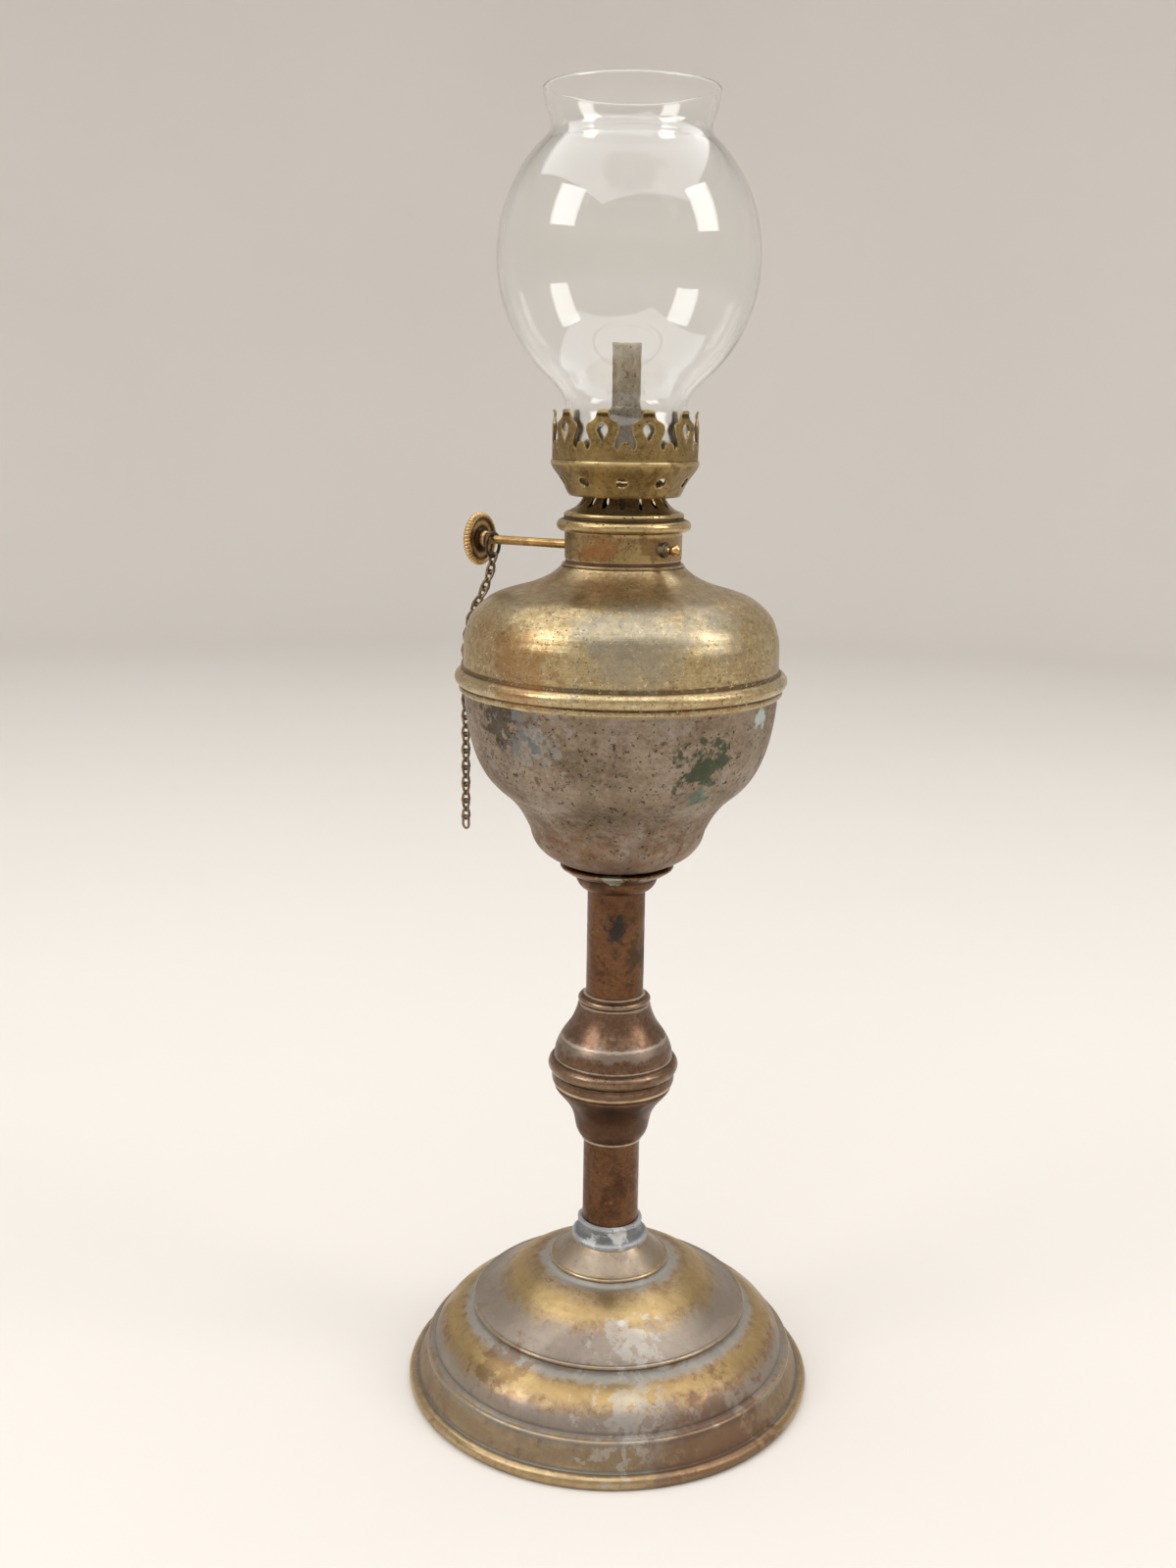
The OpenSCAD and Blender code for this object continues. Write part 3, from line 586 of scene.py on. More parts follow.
METALS = {
    "foot_brass": dict(
        tones=((168, 144, 104), (188, 170, 138), (134, 106, 76), (198, 176, 134), (136, 133, 127)),
        cloud=44, rough=(0.32, 0.5), lines=0.22, pits=0.6, scratches=0.4, wear=0.5,
        blotches=[((122, 94, 70), 26, 0.48, 0.24, 0.6, 0.05),
                  ((92, 70, 52), 420, 0.57, 0.08, 0.5, 0.1)],
        bands=[((146, 138, 132), 25.4, 4.2, 0.55, 0.75, 0.12),
               # Painted highlight: a golden ring where the convex middle dome faces the light.
               ((188, 162, 108), 31.4, 2.2, 0.4, 0.5, -0.04),
               ((148, 138, 128), 38.4, 3.4, 0.5, 0.7, 0.1),
               ((146, 138, 132), 13.2, 3.4, 0.6, 0.8, 0.12),
               # Painted highlight: a golden ring on the crown of the convex band, where it faces the light.
               ((186, 158, 104), 18.6, 1.8, 0.5, 0.5, -0.04),
               ((132, 118, 100), 6.4, 3.6, 0.7, 0.6, 0.08),
               ((168, 166, 160), 34.4, 0.7, 0.7, 0.7, 0.15),
               ((166, 164, 158), 20.6, 0.9, 0.7, 0.7, 0.15),
               ((150, 146, 138), 9.9, 1.2, 0.8, 0.6, 0.12)],
        stains=[((186, 182, 176), facing(31, 6, 26), 7, 2.2, 0.55, 0.12),
                ((206, 202, 194), facing(27, 3.5, 29.6), 1.1, 0.8, 0.9, 0.2),
                ((182, 178, 172), facing(47, 7, 13), 11, 2.2, 0.5, 0.1),
                ((112, 82, 64), facing(55, 30, 2), 24, 0.7, 0.7, 0.05),
                ((120, 88, 64), facing(42, -28, 19), 9, 1.2, 0.55, 0.0)]),
    "lead_solder": dict(
        tones=((142, 143, 146), (170, 172, 174), (112, 113, 116), (196, 197, 198), (108, 109, 110)),
        cloud=210, rough=(0.5, 0.72), metallic=0.45, lines=0.1, pits=0.7, pit_scale=1400, scratches=0.6,
        wear=0.3, bump=0.8,
        stains=[((205, 205, 204), facing(9, 2.5, 44), 3.2, 1.3, 0.9, 0.2),
                ((205, 205, 204), facing(9, -5, 42.5), 2.4, 1.4, 0.8, 0.2)]),
    "stem_copper": dict(
        tones=((106, 72, 48), (126, 94, 68), (80, 54, 38), (160, 130, 98), (66, 50, 38)),
        cloud=90, rough=(0.3, 0.48), lines=0.25, line_scale=1500, pits=0.6, pit_scale=1000,
        scratches=0.3, wear=0.5, dirt=0.6,
        blotches=[((70, 52, 40), 150, 0.56, 0.08, 0.65, 0.08),
                  ((146, 112, 76), 210, 0.62, 0.06, 0.45, 0.0),
                  ((176, 178, 164), 520, 0.71, 0.03, 0.6, 0.15)],
        stains=[((50, 52, 50), facing(7.7, 0, 131), 4.0, 1.5, 0.85, 0.1),
                ((66, 60, 44), facing(7.7, 4.5, 124), 5.0, 1.8, 0.7, 0.1),
                ((66, 48, 38), facing(7.7, 3, 60), 5.0, 1.8, 0.5, 0.1),
                ((186, 190, 172), facing(14, -1, 146.5), 3.4, 1.4, 0.8, 0.2)]),
    "knop_copper": dict(
        tones=((116, 88, 68), (138, 116, 100), (88, 62, 44), (166, 142, 114), (72, 54, 42)),
        cloud=75, rough=(0.3, 0.46), lines=0.3, line_scale=1300, pits=0.45, scratches=0.4,
        scratch_scale=95, wear=0.5, dirt=0.45,
        blotches=[((70, 48, 34), 110, 0.55, 0.12, 0.5, 0.06)],
        # The first band is painted shade: the lower cup, which faces down, is darkened in its colour.
        bands=[((78, 54, 40), 79, 10, 0.3, 0.75, 0.0), ((206, 184, 148), 86.9, 0.55, 0.5, 0.9, 0.05),
               ((74, 50, 38), 89.4, 0.6, 0.4, 0.7, 0.0), ((196, 182, 162), 99.8, 0.5, 1.1, 0.8, 0.1),
               ((150, 140, 130), 99.0, 2.2, 1.0, 0.5, 0.05),
               ((196, 182, 162), 94.3, 0.3, 0.7, 0.7, 0.1),
               ((196, 182, 162), 108.9, 0.35, 0.6, 0.7, 0.1),
               ((196, 182, 162), 111.9, 0.35, 0.6, 0.8, 0.1),
               ((196, 182, 162), 70.8, 0.35, 0.6, 0.8, 0.1)]),
    "bowl_tarnish": dict(
        tones=((146, 130, 110), (172, 158, 142), (112, 94, 74), (178, 160, 134), (58, 48, 40)),
        cloud=62, rough=(0.42, 0.6), metallic=0.85, lines=0.25, pits=0.95, pit_scale=1000,
        scratches=0.3, wear=0.5, bump=0.6,
        blotches=[((106, 94, 70), 44, 0.52, 0.16, 0.6, 0.06),
                  ((160, 156, 152), 75, 0.54, 0.14, 0.55, 0.08),
                  ((78, 64, 52), 260, 0.57, 0.09, 0.6, 0.1), ((46, 38, 31), 640, 0.58, 0.05, 0.85, 0.1),
                  ((182, 180, 174), 420, 0.63, 0.06, 0.5, 0.12)],
        stains=[((118, 84, 58), (0, 0, 0.15), 34, 0.5, 0.55, 0.0),
                ((52, 46, 38), facing(40, -28, 190), 9, 1.8, 0.7, 0.1),
                ((168, 174, 176), facing(39, -21, 186), 7, 2.6, 0.35, 0.12),
                ((70, 80, 62), facing(38, 20.5, 180), 8.5, 1.5, 0.9, 0.2),
                ((104, 124, 112), facing(34, 18.5, 173.5), 4.4, 1.4, 0.75, 0.2),
                ((186, 198, 196), facing(39.9, 34.5, 190), 3.2, 1.2, 0.9, 0.15)]),
    "dome_brass": dict(
        tones=((182, 162, 118), (212, 196, 158), (146, 122, 82), (214, 196, 156), (96, 80, 58)),
        cloud=52, rough=(0.3, 0.44), lines=0.3, line_scale=1700, pits=0.7, pit_scale=1500,
        scratches=0.35, wear=0.35, bump=0.55,
        blotches=[((126, 124, 116), 34, 0.5, 0.2, 0.65, 0.06),
                  ((146, 104, 60), 30, 0.52, 0.2, 0.55, 0.0), ((84, 68, 46), 900, 0.54, 0.1, 0.6, 0.08),
                  # Painted glints: fine pale, shinier specks that stand in for the sparkle of the brass
                  # grain.
                  ((232, 220, 190), 1300, 0.57, 0.06, 0.65, -0.06)],
        stains=[((150, 148, 138), facing(38, 3, 211), 15, 0.8, 0.5, 0.05),
                ((150, 148, 138), facing(34, 20, 212), 11, 0.9, 0.4, 0.05),
                ((128, 92, 54), (0, 0, 0.197), 45.5, 0.25, 0.6, 0.0),
                ((150, 106, 60), facing(40.2, -24, 203), 12, 0.8, 0.5, 0.0)]),
    "burner_brass": dict(
        tones=((158, 134, 90), (188, 168, 124), (116, 88, 56), (206, 184, 136), (62, 47, 33)),
        cloud=110, rough=(0.28, 0.48), lines=0.3, line_scale=1600, pits=0.6, pit_scale=1200,
        scratches=0.35, wear=0.55,
        blotches=[((104, 80, 52), 120, 0.55, 0.08, 0.6, 0.05),
                  ((142, 92, 52), 95, 0.58, 0.08, 0.5, 0.0),
                  ((66, 52, 38), 520, 0.62, 0.04, 0.6, 0.08)],
        stains=[((140, 92, 52), facing(15, -6, 229.5), 5, 1.1, 0.6, 0.0),
                ((106, 74, 46), facing(15, 7, 230), 4.4, 1.2, 0.6, 0.05)]),
    "burnt_tube": dict(
        tones=((176, 164, 144), (200, 190, 172), (130, 114, 90), (204, 194, 174), (84, 72, 58)),
        cloud=150, rough=(0.42, 0.6), metallic=0.7, lines=0.15, pits=0.8, pit_scale=1300, scratches=0.4,
        wear=0.5, bump=0.7,
        blotches=[((112, 96, 72), 260, 0.57, 0.06, 0.7, 0.1),
                  ((216, 210, 196), 420, 0.63, 0.05, 0.6, 0.1)]),
    "winder_brass": dict(
        tones=((170, 134, 80), (196, 166, 114), (126, 92, 54), (212, 180, 126), (58, 42, 28)),
        cloud=160, rough=(0.26, 0.44), lines=0.1, pits=0.5, pit_scale=1500, scratches=0.35, wear=0.6,
        blotches=[((92, 68, 42), 260, 0.57, 0.07, 0.65, 0.06)]),
    "gallery_brass": dict(
        tones=((136, 114, 70), (162, 142, 98), (102, 78, 44), (188, 166, 118), (62, 49, 32)),
        cloud=120, rough=(0.36, 0.54), lines=0.2, line_scale=1500, pits=0.6, pit_scale=1400,
        scratches=0.35, wear=0.6,
        blotches=[((92, 72, 42), 140, 0.56, 0.08, 0.6, 0.05),
                  ((160, 148, 116), 210, 0.62, 0.06, 0.45, 0.05)]),
    "dark_metal": dict(
        tones=((86, 76, 64), (110, 98, 84), (58, 50, 42), (140, 126, 106), (36, 30, 26)),
        cloud=220, rough=(0.35, 0.55), lines=0.0, pits=0.4, pit_scale=1600, scratches=0.3),
    "chain_metal": dict(
        tones=((136, 116, 88), (166, 148, 120), (96, 78, 58), (196, 178, 150), (60, 48, 38)),
        cloud=260, rough=(0.3, 0.5), lines=0.0, pits=0.3, pit_scale=1800, scratches=0.3),
}


def washer_fibre():
    """Oiled leather: dark brown with a fine crumpled grain."""
    material, tree, shader, place = new_material("washer_fibre")
    grain = use(tree, MOTTLING, Vector=place, Scale=170.0)
    colour = blend(tree, grain["Clouds"], tone(62, 42, 30), tone(94, 66, 46))
    tree.links.new(colour, shader.inputs["Base Color"])
    raised = put(tree, "ShaderNodeBump", {"Height": grain["Grain"], "Strength": 0.6, "Distance": 0.0002})
    tree.links.new(raised.outputs[0], shader.inputs["Normal"])
    tree.links.new(mask(tree, grain["Grain"], 0, 1, 0.55, 0.8), shader.inputs["Roughness"])
    return material


def cotton():
    """Braided cotton: pale threads that cross, darker where they meet, charred near the flame."""
    material, tree, shader, place = new_material("cotton")
    grain = use(tree, MOTTLING, Vector=place, Scale=240.0)
    wave = put(tree, "ShaderNodeTexWave", {"Vector": place, "Scale": 420.0, "Distortion": 1.4},
               bands_direction="DIAGONAL").outputs[1]
    colour = blend(tree, wave, tone(186, 172, 146), tone(226, 216, 194))
    colour = blend(tree, times(tree, grain["Clouds"], 0.4), colour, tone(150, 132, 104))
    height = put(tree, "ShaderNodeSeparateXYZ", {0: place}).outputs[2]
    colour = blend(tree, mask(tree, height, 0.272, 0.2765), colour, tone(38, 34, 30))
    tree.links.new(colour, shader.inputs["Base Color"])
    raised = put(tree, "ShaderNodeBump", {"Height": wave, "Strength": 0.7, "Distance": 0.0002})
    tree.links.new(raised.outputs[0], shader.inputs["Normal"])
    tree.links.new(mask(tree, grain["Grain"], 0, 1, 0.8, 0.95), shader.inputs["Roughness"])
    return material


def clear_glass():
    """Blown glass: clear, with faint waves, a film of dust and soot low down and fine specks."""
    material, tree, shader, place = new_material("clear_glass")
    waves = noise(tree, place, 28.0, 2.0, 0.5)
    film = use(tree, MOTTLING, Vector=place, Scale=45.0)
    specks = use(tree, PITTING, Vector=place, Scale=420.0, Amount=0.35)["Pits"]
    height = put(tree, "ShaderNodeSeparateXYZ", {0: place}).outputs[2]
    low = mask(tree, height, 0.272, 0.252)
    hazy = plus(tree, times(tree, film["Clouds"], 0.018), times(tree, low, 0.1))
    hazy = plus(tree, hazy, times(tree, specks, 0.15))
    tree.links.new(hazy, shader.inputs["Roughness"])
    raised = put(tree, "ShaderNodeBump", {"Height": waves, "Strength": 0.25, "Distance": 0.0004})
    tree.links.new(raised.outputs[0], shader.inputs["Normal"])
    shader.inputs["Base Color"].default_value = (0.985, 0.99, 0.985, 1)
    shader.inputs["Transmission Weight"].default_value = 1.0
    shader.inputs["IOR"].default_value = 1.5
    return material


FINISHES = {name: aged_metal(name, **values) for name, values in METALS.items()}
FINISHES |= {make.__name__: make() for make in (cotton, washer_fibre, clear_glass)}


def settle(piece, body, finish, *nodes):
    """Gives a piece its finish and body, and hides the CAD nodes that it stands for."""
    piece.data.materials.append(FINISHES[finish])
    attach(piece, body)
    if nodes:
        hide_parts(*nodes)
    return piece


# ---- foot and stem -----------------------------------------------------------

def make_foot():
    """Spun foot: bead, skirt, ridge, convex band, lipped middle dome and small disc, in one sheet."""
    bead = arc(53.55, 1.65, 1.85, -117, 108, 40)
    skirt = path((52.78, 3.62), cubic((52.6, 4.3), (52.1, 6.1), (51.0, 7.7), (50.42, 9.3), 14))
    ridge = arc(49.9, 10.0, 0.6, -28, 100, 10)
    band = cubic((48.2, 11.1), (47.7, 15), (44.5, 18.2), (40, 19.9), 40)
    cove = cubic((39.5, 20.1), (38.4, 20.5), (37.4, 20.9), (37.1, 22), 12)
    lip = arc(37, 22.9, 0.55, -40, 110, 10)
    slope = cubic((36.5, 23.5), (33.5, 24.9), (31.5, 26.6), (28.5, 29), 24)
    dome = cubic((28.2, 29.2), (24.5, 32.2), (20.8, 33.9), (17.5, 34.2), 24)
    disc_lip = path((16.9, 34.55), arc(15.8, 35.5, 0.55, -50, 100, 10))
    disc = path(cubic((15.4, 36.2), (13.4, 37.6), (11.6, 39.4), (10, 41.2), 16), (7.75, 41.2),
                (7.75, 38.3), (0, 38.3))
    under = [(52.2, 2.2), (49.2, 8.8), (47.2, 11.4), (44.2, 16.2), (40.1, 18.8), (36.2, 21.4), (28, 28),
             (18, 33.2), (14.7, 34.8), (10, 36.8), (0, 36.8)]
    under = softened(np.array(under, float), 2)
    outline = path(under[::-1], bead, skirt, ridge, band, cove, lip, slope, dome, disc_lip, disc)
    return lathe("spun_foot", outline, 300, 0.7, uneven(0.22, 1.0))


settle(make_foot(), "stand", "foot_brass", "foot_shell")


def make_ferrule():
    """Ferrule of soft solder, flared below and lumpy: waves of 5, 9 and 17 turns."""
    outline = path((10.3, 41.2), arc(9.6, 41.9, 0.8, -30, 80, 8),
                   cubic((9.3, 42.8), (8.7, 43.2), (8.4, 44.4), (8.6, 45.6), 12),
                   (8.8, 46.2), (8.6, 46.8), (8.1, 47), (7.65, 46.9), (7.65, 41.2))

    def lumps(r, h, turn):
        high = np.clip((h - 41.4) / 2, 0, 1) * np.clip((r - 7.7) / 0.5, 0, 1)
        wave = (np.sin(5 * turn + h) + 0.8 * np.sin(9 * turn - 1.7 * h) + 0.5 * np.sin(17 * turn + 2 * h))
        return r + 0.11 * high * wave, h
    return lathe("solder_ferrule", outline, 160, 0.3, lumps)


settle(make_ferrule(), "stand", "lead_solder", "foot_ferrule")


def make_tube(name, low, high, seed):
    """Plain drawn tube with slight dents."""
    outline = path((7.65, low), (7.65, high), (6.85, high), (6.85, low))
    return lathe(name, outline, 160, 1.2, uneven(0.12, seed))


settle(make_tube("lower_stem", 38.3, 76.4, 2.0), "stand", "stem_copper", "stem_lower_tube")
settle(make_tube("upper_stem", 106, 145, 3.0), "stand", "stem_copper", "stem_upper_tube")


def make_lower_knop():
    """Lower half of the knop: a cup that swells from the stem to a stepped rim."""
    outline = path((7.65, 70.4), (8.15, 70.45), (8.3, 70.9), (8.25, 71.2),
                   cubic((8.6, 71.4), (9.3, 72.2), (9.8, 73.4), (10, 75), 14),
                   cubic((10.2, 76), (11, 80.4), (13.4, 82.4), (15, 84.4), 26),
                   (15.6, 85.3), (15.65, 85.6), (15.5, 85.9), (15.9, 86.3),
                   cubic((16.1, 86.8), (16.5, 87.6), (16.6, 88.8), (16.3, 89.8), 10),
                   (15.2, 89.8), (12.6, 83), (9.4, 76.6), (7.65, 76.6))
    return lathe("knop_cup", outline, 200, 0.4, uneven(0.1, 4.0))


def make_upper_knop():
    """Upper half: the round ring, then a bell that narrows to a bead on the stem."""
    outline = path((15.4, 89.8), arc(15.45, 91.8, 2, -75, 75, 22), (15.85, 93.95),
                   cubic((15.9, 94.3), (15.6, 98.6), (13.2, 101), (12.2, 102.6), 26),
                   cubic((11.9, 103), (10.7, 105), (10, 107), (9.7, 108.6), 14),
                   (9.25, 108.85), (9.2, 109.2), arc(8.9, 110.2, 0.8, -60, 90, 12),
                   (8.3, 111.3), (8.15, 111.9), (7.65, 112), (7.65, 106.6), (9, 106.6), (11.2, 102.6),
                   (14.8, 96), (14.2, 89.8))
    return lathe("knop_bell", outline, 200, 0.4, uneven(0.1, 5.0))


settle(make_lower_knop(), "stand", "knop_copper", "knop_lower_shell")
settle(make_upper_knop(), "stand", "knop_copper", "knop_upper_shell")


# ---- font --------------------------------------------------------------------

def make_socket():
    """Flared socket on the stem with a thin flange under the bowl."""
    outline = path(cubic((7.85, 140.4), (9.4, 140.8), (10.6, 142.4), (10.8, 144.2), 16), (11, 144.5),
                   (13, 145.3), (14.6, 146.4), (14.85, 146.8), (14.8, 147.1), (14.3, 147.4),
                   (7.65, 147.4), (7.65, 140.4))
    return lathe("bowl_socket", outline, 160, 0.4)


def make_bowl():
    """Lower shell of the font: a pinched knob below and a full bowl above."""
    outer = path((7.65, 147.4), cubic((13.4, 147.6), (17.3, 149.2), (21.7, 151.5), (22.6, 156.4), 30),
                 cubic((22.9, 157.4), (24.1, 160), (26, 163.8), (29.5, 166.6), 24),
                 cubic((30.2, 167.2), (35.2, 171.2), (38.6, 177), (39.9, 190.5), 44), (40.1, 193.4))
    inner = inner_side(outer[1:], 0.6)
    outline = path((0, 147.42), outer, inner[::-1], (7.65, 148.4), (0, 148.4))
    return lathe("font_bowl_shell", outline, 300, 0.8, uneven(0.25, 6.0))


def make_dome():
    """Upper shell: rolled belt, upright wall, round shoulder and the sloping top."""
    belt = path((40.1, 193.3), (41, 193.25), (41.25, 193.5), (41.3, 194.2), (41.05, 194.9),
                arc(40.4, 196.7, 2, -52, 75, 26), (40.35, 198.75))
    wall = path(cubic((40.2, 199.2), (40.2, 202), (40.3, 207.2), (39.6, 208.4), 20),
                cubic((39.4, 209), (38.7, 212.4), (36.8, 214.4), (33.6, 216.6), 26),
                cubic((33.1, 216.9), (30.2, 218.5), (26, 219), (22.5, 220.4), 26),
                cubic((21.8, 220.7), (19.2, 221.7), (17.4, 222.8), (15.6, 224.8), 20))
    wall = smooth_run(dense(wall, 0.4), 3)
    inner = inner_side(wall, 0.6)
    outline = path(belt, wall, inner[::-1], (39.5, 193.3))
    return lathe("font_dome_shell", outline, 300, 0.8, uneven(0.2, 7.0))


settle(make_socket(), "stand", "stem_copper", "font_socket")
settle(make_bowl(), "stand", "bowl_tarnish", "font_bowl")
settle(make_dome(), "stand", "dome_brass", "font_dome")


# ---- burner ------------------------------------------------------------------

def make_casing():
    """Drum of the burner, with a round hole on each side for the winder shaft."""
    wall = path((14.55, 226.35), (14.7, 226.9), (14.75, 233.4))
    half = TURN / 2 * 14.7
    border = [(-half, 0), (half, 0), (half, 7.06), (-half, 7.06)]
    side = math.asin(4.8 / 14.7)
    w = np.linspace(0, TURN, 28, endpoint=False)
    holes = []
    for angle in (TURN / 4 - side, side - TURN / 4):
        holes.append(np.stack([angle * 14.7 + 1.28 * np.cos(w), WINDER_Z - 226.34 + 1.2 * np.sin(w)], 1))
    return cut_sheet("burner_drum", wall, 14.7, border, holes, 1, -90, 0.9, 0.5)


def make_cap_brim():
    """Brim of the burner cap: a bold bead and a small ring on the way to the neck."""
    outer = path((14.3, 233.4), arc(15.35, 234.9, 1.5, -95, 60, 20), (15.5, 236.35), (15.05, 236.6),
                 arc(14.4, 237.4, 0.7, -40, 80, 10), (14.25, 238.25))
    outline = path(outer, (13.7, 237.9), (14.2, 236.8), (14.5, 234.6), (13.9, 233.9))
    return lathe("cap_brim", outline, 200, 0.3, uneven(0.08, 8.0))


def make_cap_neck():
    """Neck of the cap: a concave cone with sixteen upright slots, pointed below."""
    wall = path(cubic((14.25, 238.2), (11.9, 238.9), (10.45, 240.6), (9.65, 243), 20), (9.6, 244.9),
                (9.45, 245.6), (8.9, 246), (3.85, 246))
    ref = 9.8
    width = TURN * ref / 16
    length = float(np.hypot(*np.diff(wall, axis=0).T).sum())
    border = [(-width / 2, 0), (width / 2, 0), (width / 2, length), (-width / 2, length)]
    slot = path((0, 2.1), (0.45, 3.0), (0.78, 4.1), (0.82, 7.3), arc(0, 7.4, 0.8, 15, 165, 9),
                (-0.82, 7.3), (-0.78, 4.1), (-0.45, 3.0))
    return cut_sheet("cap_neck", wall, ref, border, [slot], 16, 4.0, 0.55, 0.45)


def make_wick_tube():
    """Wick tube: thin tube with a slightly belled mouth and a few soft lumps of deposit."""
    outline = path((3.5, 219), (3.5, 276), (3.56, 278.2), (3.72, 278.8), (3.6, 279), (3.3, 278.9),
                   (3.1, 278), (3.1, 219))

    def lumps(r, h, turn):
        outside = (r > 3.3) * np.clip((h - 262) / 6, 0, 1)
        wave = (np.sin(3 * turn + h * 0.9) * np.sin(2 * turn - h * 0.53 + 1)
                + 0.5 * np.sin(7 * turn + h * 1.9))
        return r + 0.05 * outside * wave, h
    return lathe("round_wick_tube", outline, 72, 0.9, lumps)


def make_sleeve():
    """Short outer sleeve round the wick tube with a ragged top edge."""
    outline = path((3.8, 234), (3.8, 263.6), (3.7, 264), (3.52, 264), (3.52, 234))

    def ragged(r, h, turn):
        top = np.clip((h - 262) / 2, 0, 1)
        return r, h - top * 0.35 * (1 + np.sin(4 * turn) * np.sin(7 * turn + 1))
    return lathe("wick_tube_sleeve", outline, 72, 0.9, ragged)


settle(make_casing(), "burner", "burner_brass", "burner_casing")
settle(make_cap_brim(), "burner", "burner_brass", "burner_cap")
settle(make_cap_neck(), "burner", "burner_brass")
settle(make_wick_tube(), "burner", "burnt_tube", "wick_tube")
settle(make_sleeve(), "burner", "burnt_tube", "wick_sleeve")


# ---- winder ------------------------------------------------------------------

def make_knob():
    """Winder knob: a disc with a sunk ring on both faces, and 44 rounded beads on its rim."""
    outline = path((0, -41), (2.6, -41), (2.9, -40.6), (5.4, -40.6), (5.7, -41), (6.3, -41.0),
                   arc(5.9, -40, 1.0, -70, 70, 16), (6.3, -39.0), (5.7, -39), (5.4, -39.4), (2.9, -39.4),
                   (2.6, -39), (2.3, -38.9), (2.15, -37.9), (1.9, -37.6), (1.2, -37.6), (0, -37.6))

    def beads(r, h, turn):
        rim = np.clip((r - 6.0) / 0.5, 0, 1)
        across = np.clip(1 - ((h + 40) / 1.05) ** 2, 0, 1)
        dip = 1 - np.abs(np.cos(22 * turn)) ** 0.8
        return r - rim * (0.34 * dip + 0.1 * (1 - across)), h
    return lathe("winder_knob_disc", outline, 528, 0.3, beads, around_winder)


def make_shaft():
    """Round shaft with a collar where it meets the knob and a small step near the drum."""
    outline = path((0, -41.05), (1.15, -41.05), (1.15, -37.6), (1.35, -37.5), (1.35, -36.9), (1.15, -36.7),
                   (1.12, -22), (1.15, -15.5), (1.15, 16), (0, 16))
    return lathe("winder_shaft_rod", outline, 48, 0.8, None, around_winder)


def make_gland():
    """Dark gland on the far side of the drum: a stepped collar with a round nose."""
    outline = path((1.2, 13.2), (1.95, 13.2), (1.95, 14.6), (1.85, 14.85), (1.5, 14.95), (1.45, 15.4),
                   (1.2, 15.5))
    return lathe("shaft_gland_collar", outline, 64, 0.25, None, around_winder)


def make_end_ball():
    """Small ball on the end of the shaft."""
    outline = path((0, 16), arc(0, 17.2, 1.45, -55.8, 89, 24), (0, 18.65))
    return lathe("shaft_ball", outline, 64, 0.2, None, around_winder)


settle(make_knob(), "winder", "winder_brass", "winder_knob")
settle(make_shaft(), "winder", "winder_brass", "winder_shaft")
settle(make_gland(), "burner", "dark_metal", "shaft_gland")
settle(make_end_ball(), "winder", "winder_brass", "shaft_end_ball")


# ---- gallery and glass -------------------------------------------------------

FIRST_GAP = -61.0
PRONGS = 10


def make_skirt():
    """Funnel under the glass with ten round air holes and a rolled bead at its top."""
    wall = path((13.45, 242), (13.9, 242.15), (14.2, 242.7),
                cubic((14.4, 243.2), (15.3, 245.2), (15.9, 246), (16.9, 247.4), 12),
                (17.4, 248), (18, 248.9), arc(17.7, 250.2, 0.8, -45, 88, 12), (17.6, 251))
    wall = dense(wall, 0.2)
    run = np.r_[0, np.cumsum(np.hypot(*np.diff(wall, axis=0).T))]
    middle = float(np.interp(245.7, wall[:, 1], run))
    ref = 15.7
    width = TURN * ref / PRONGS
    border = [(-width / 2, 0), (width / 2, 0), (width / 2, run[-1]), (-width / 2, run[-1])]
    hole = arc(0, middle, 1.4, 0, 345, 24)
    return cut_sheet("gallery_funnel", wall, ref, border, [hole], PRONGS, FIRST_GAP - 2.4, 0.6, 0.5)


def make_crown():
    """Crown of ten onion-shaped prongs, each with a drop-shaped hole, and a scallop between two."""
    wall = path((18.1, 251), (18.1, 256.5),
                cubic((18.1, 257), (18.25, 259), (17.95, 260.6), (17.75, 261.4), 12),
                cubic((17.75, 261.5), (17.7, 262.1), (17.95, 262.5), (18.3, 262.65), 8))
    ref = 18.1
    half = TURN * ref / PRONGS / 2
    low = 251.0
    gap = path(arc(0, 254.2, 1.3, 90, 10, 8), (1.55, 253.75), (1.75, 253.62), (2.0, 253.7), (2.4, 254.1),
               cubic((2.6, 254.8), (2.5, 256.4), (1.3, 257.4), (1.5, 258.7), 10),
               cubic((1.6, 259.4), (2, 260.2), (3.2, 260.1), (3.7, 261), 8), (4.0, 261.9), (4.35, 262.6))
    right = np.stack([half - gap[:, 0], gap[:, 1] - low], 1)
    left = right[::-1] * [-1, 1]
    border = path((half, 0), right, left, (-half, 0))
    drop = path((0, 255.3), arc(0, 258.3, 1.45, -25, 205, 20))
    drop = np.stack([drop[:, 0], drop[:, 1] - low], 1)
    return cut_sheet("gallery_prongs", wall, ref, border, [drop], PRONGS, FIRST_GAP + 18, 0.45, 0.5)


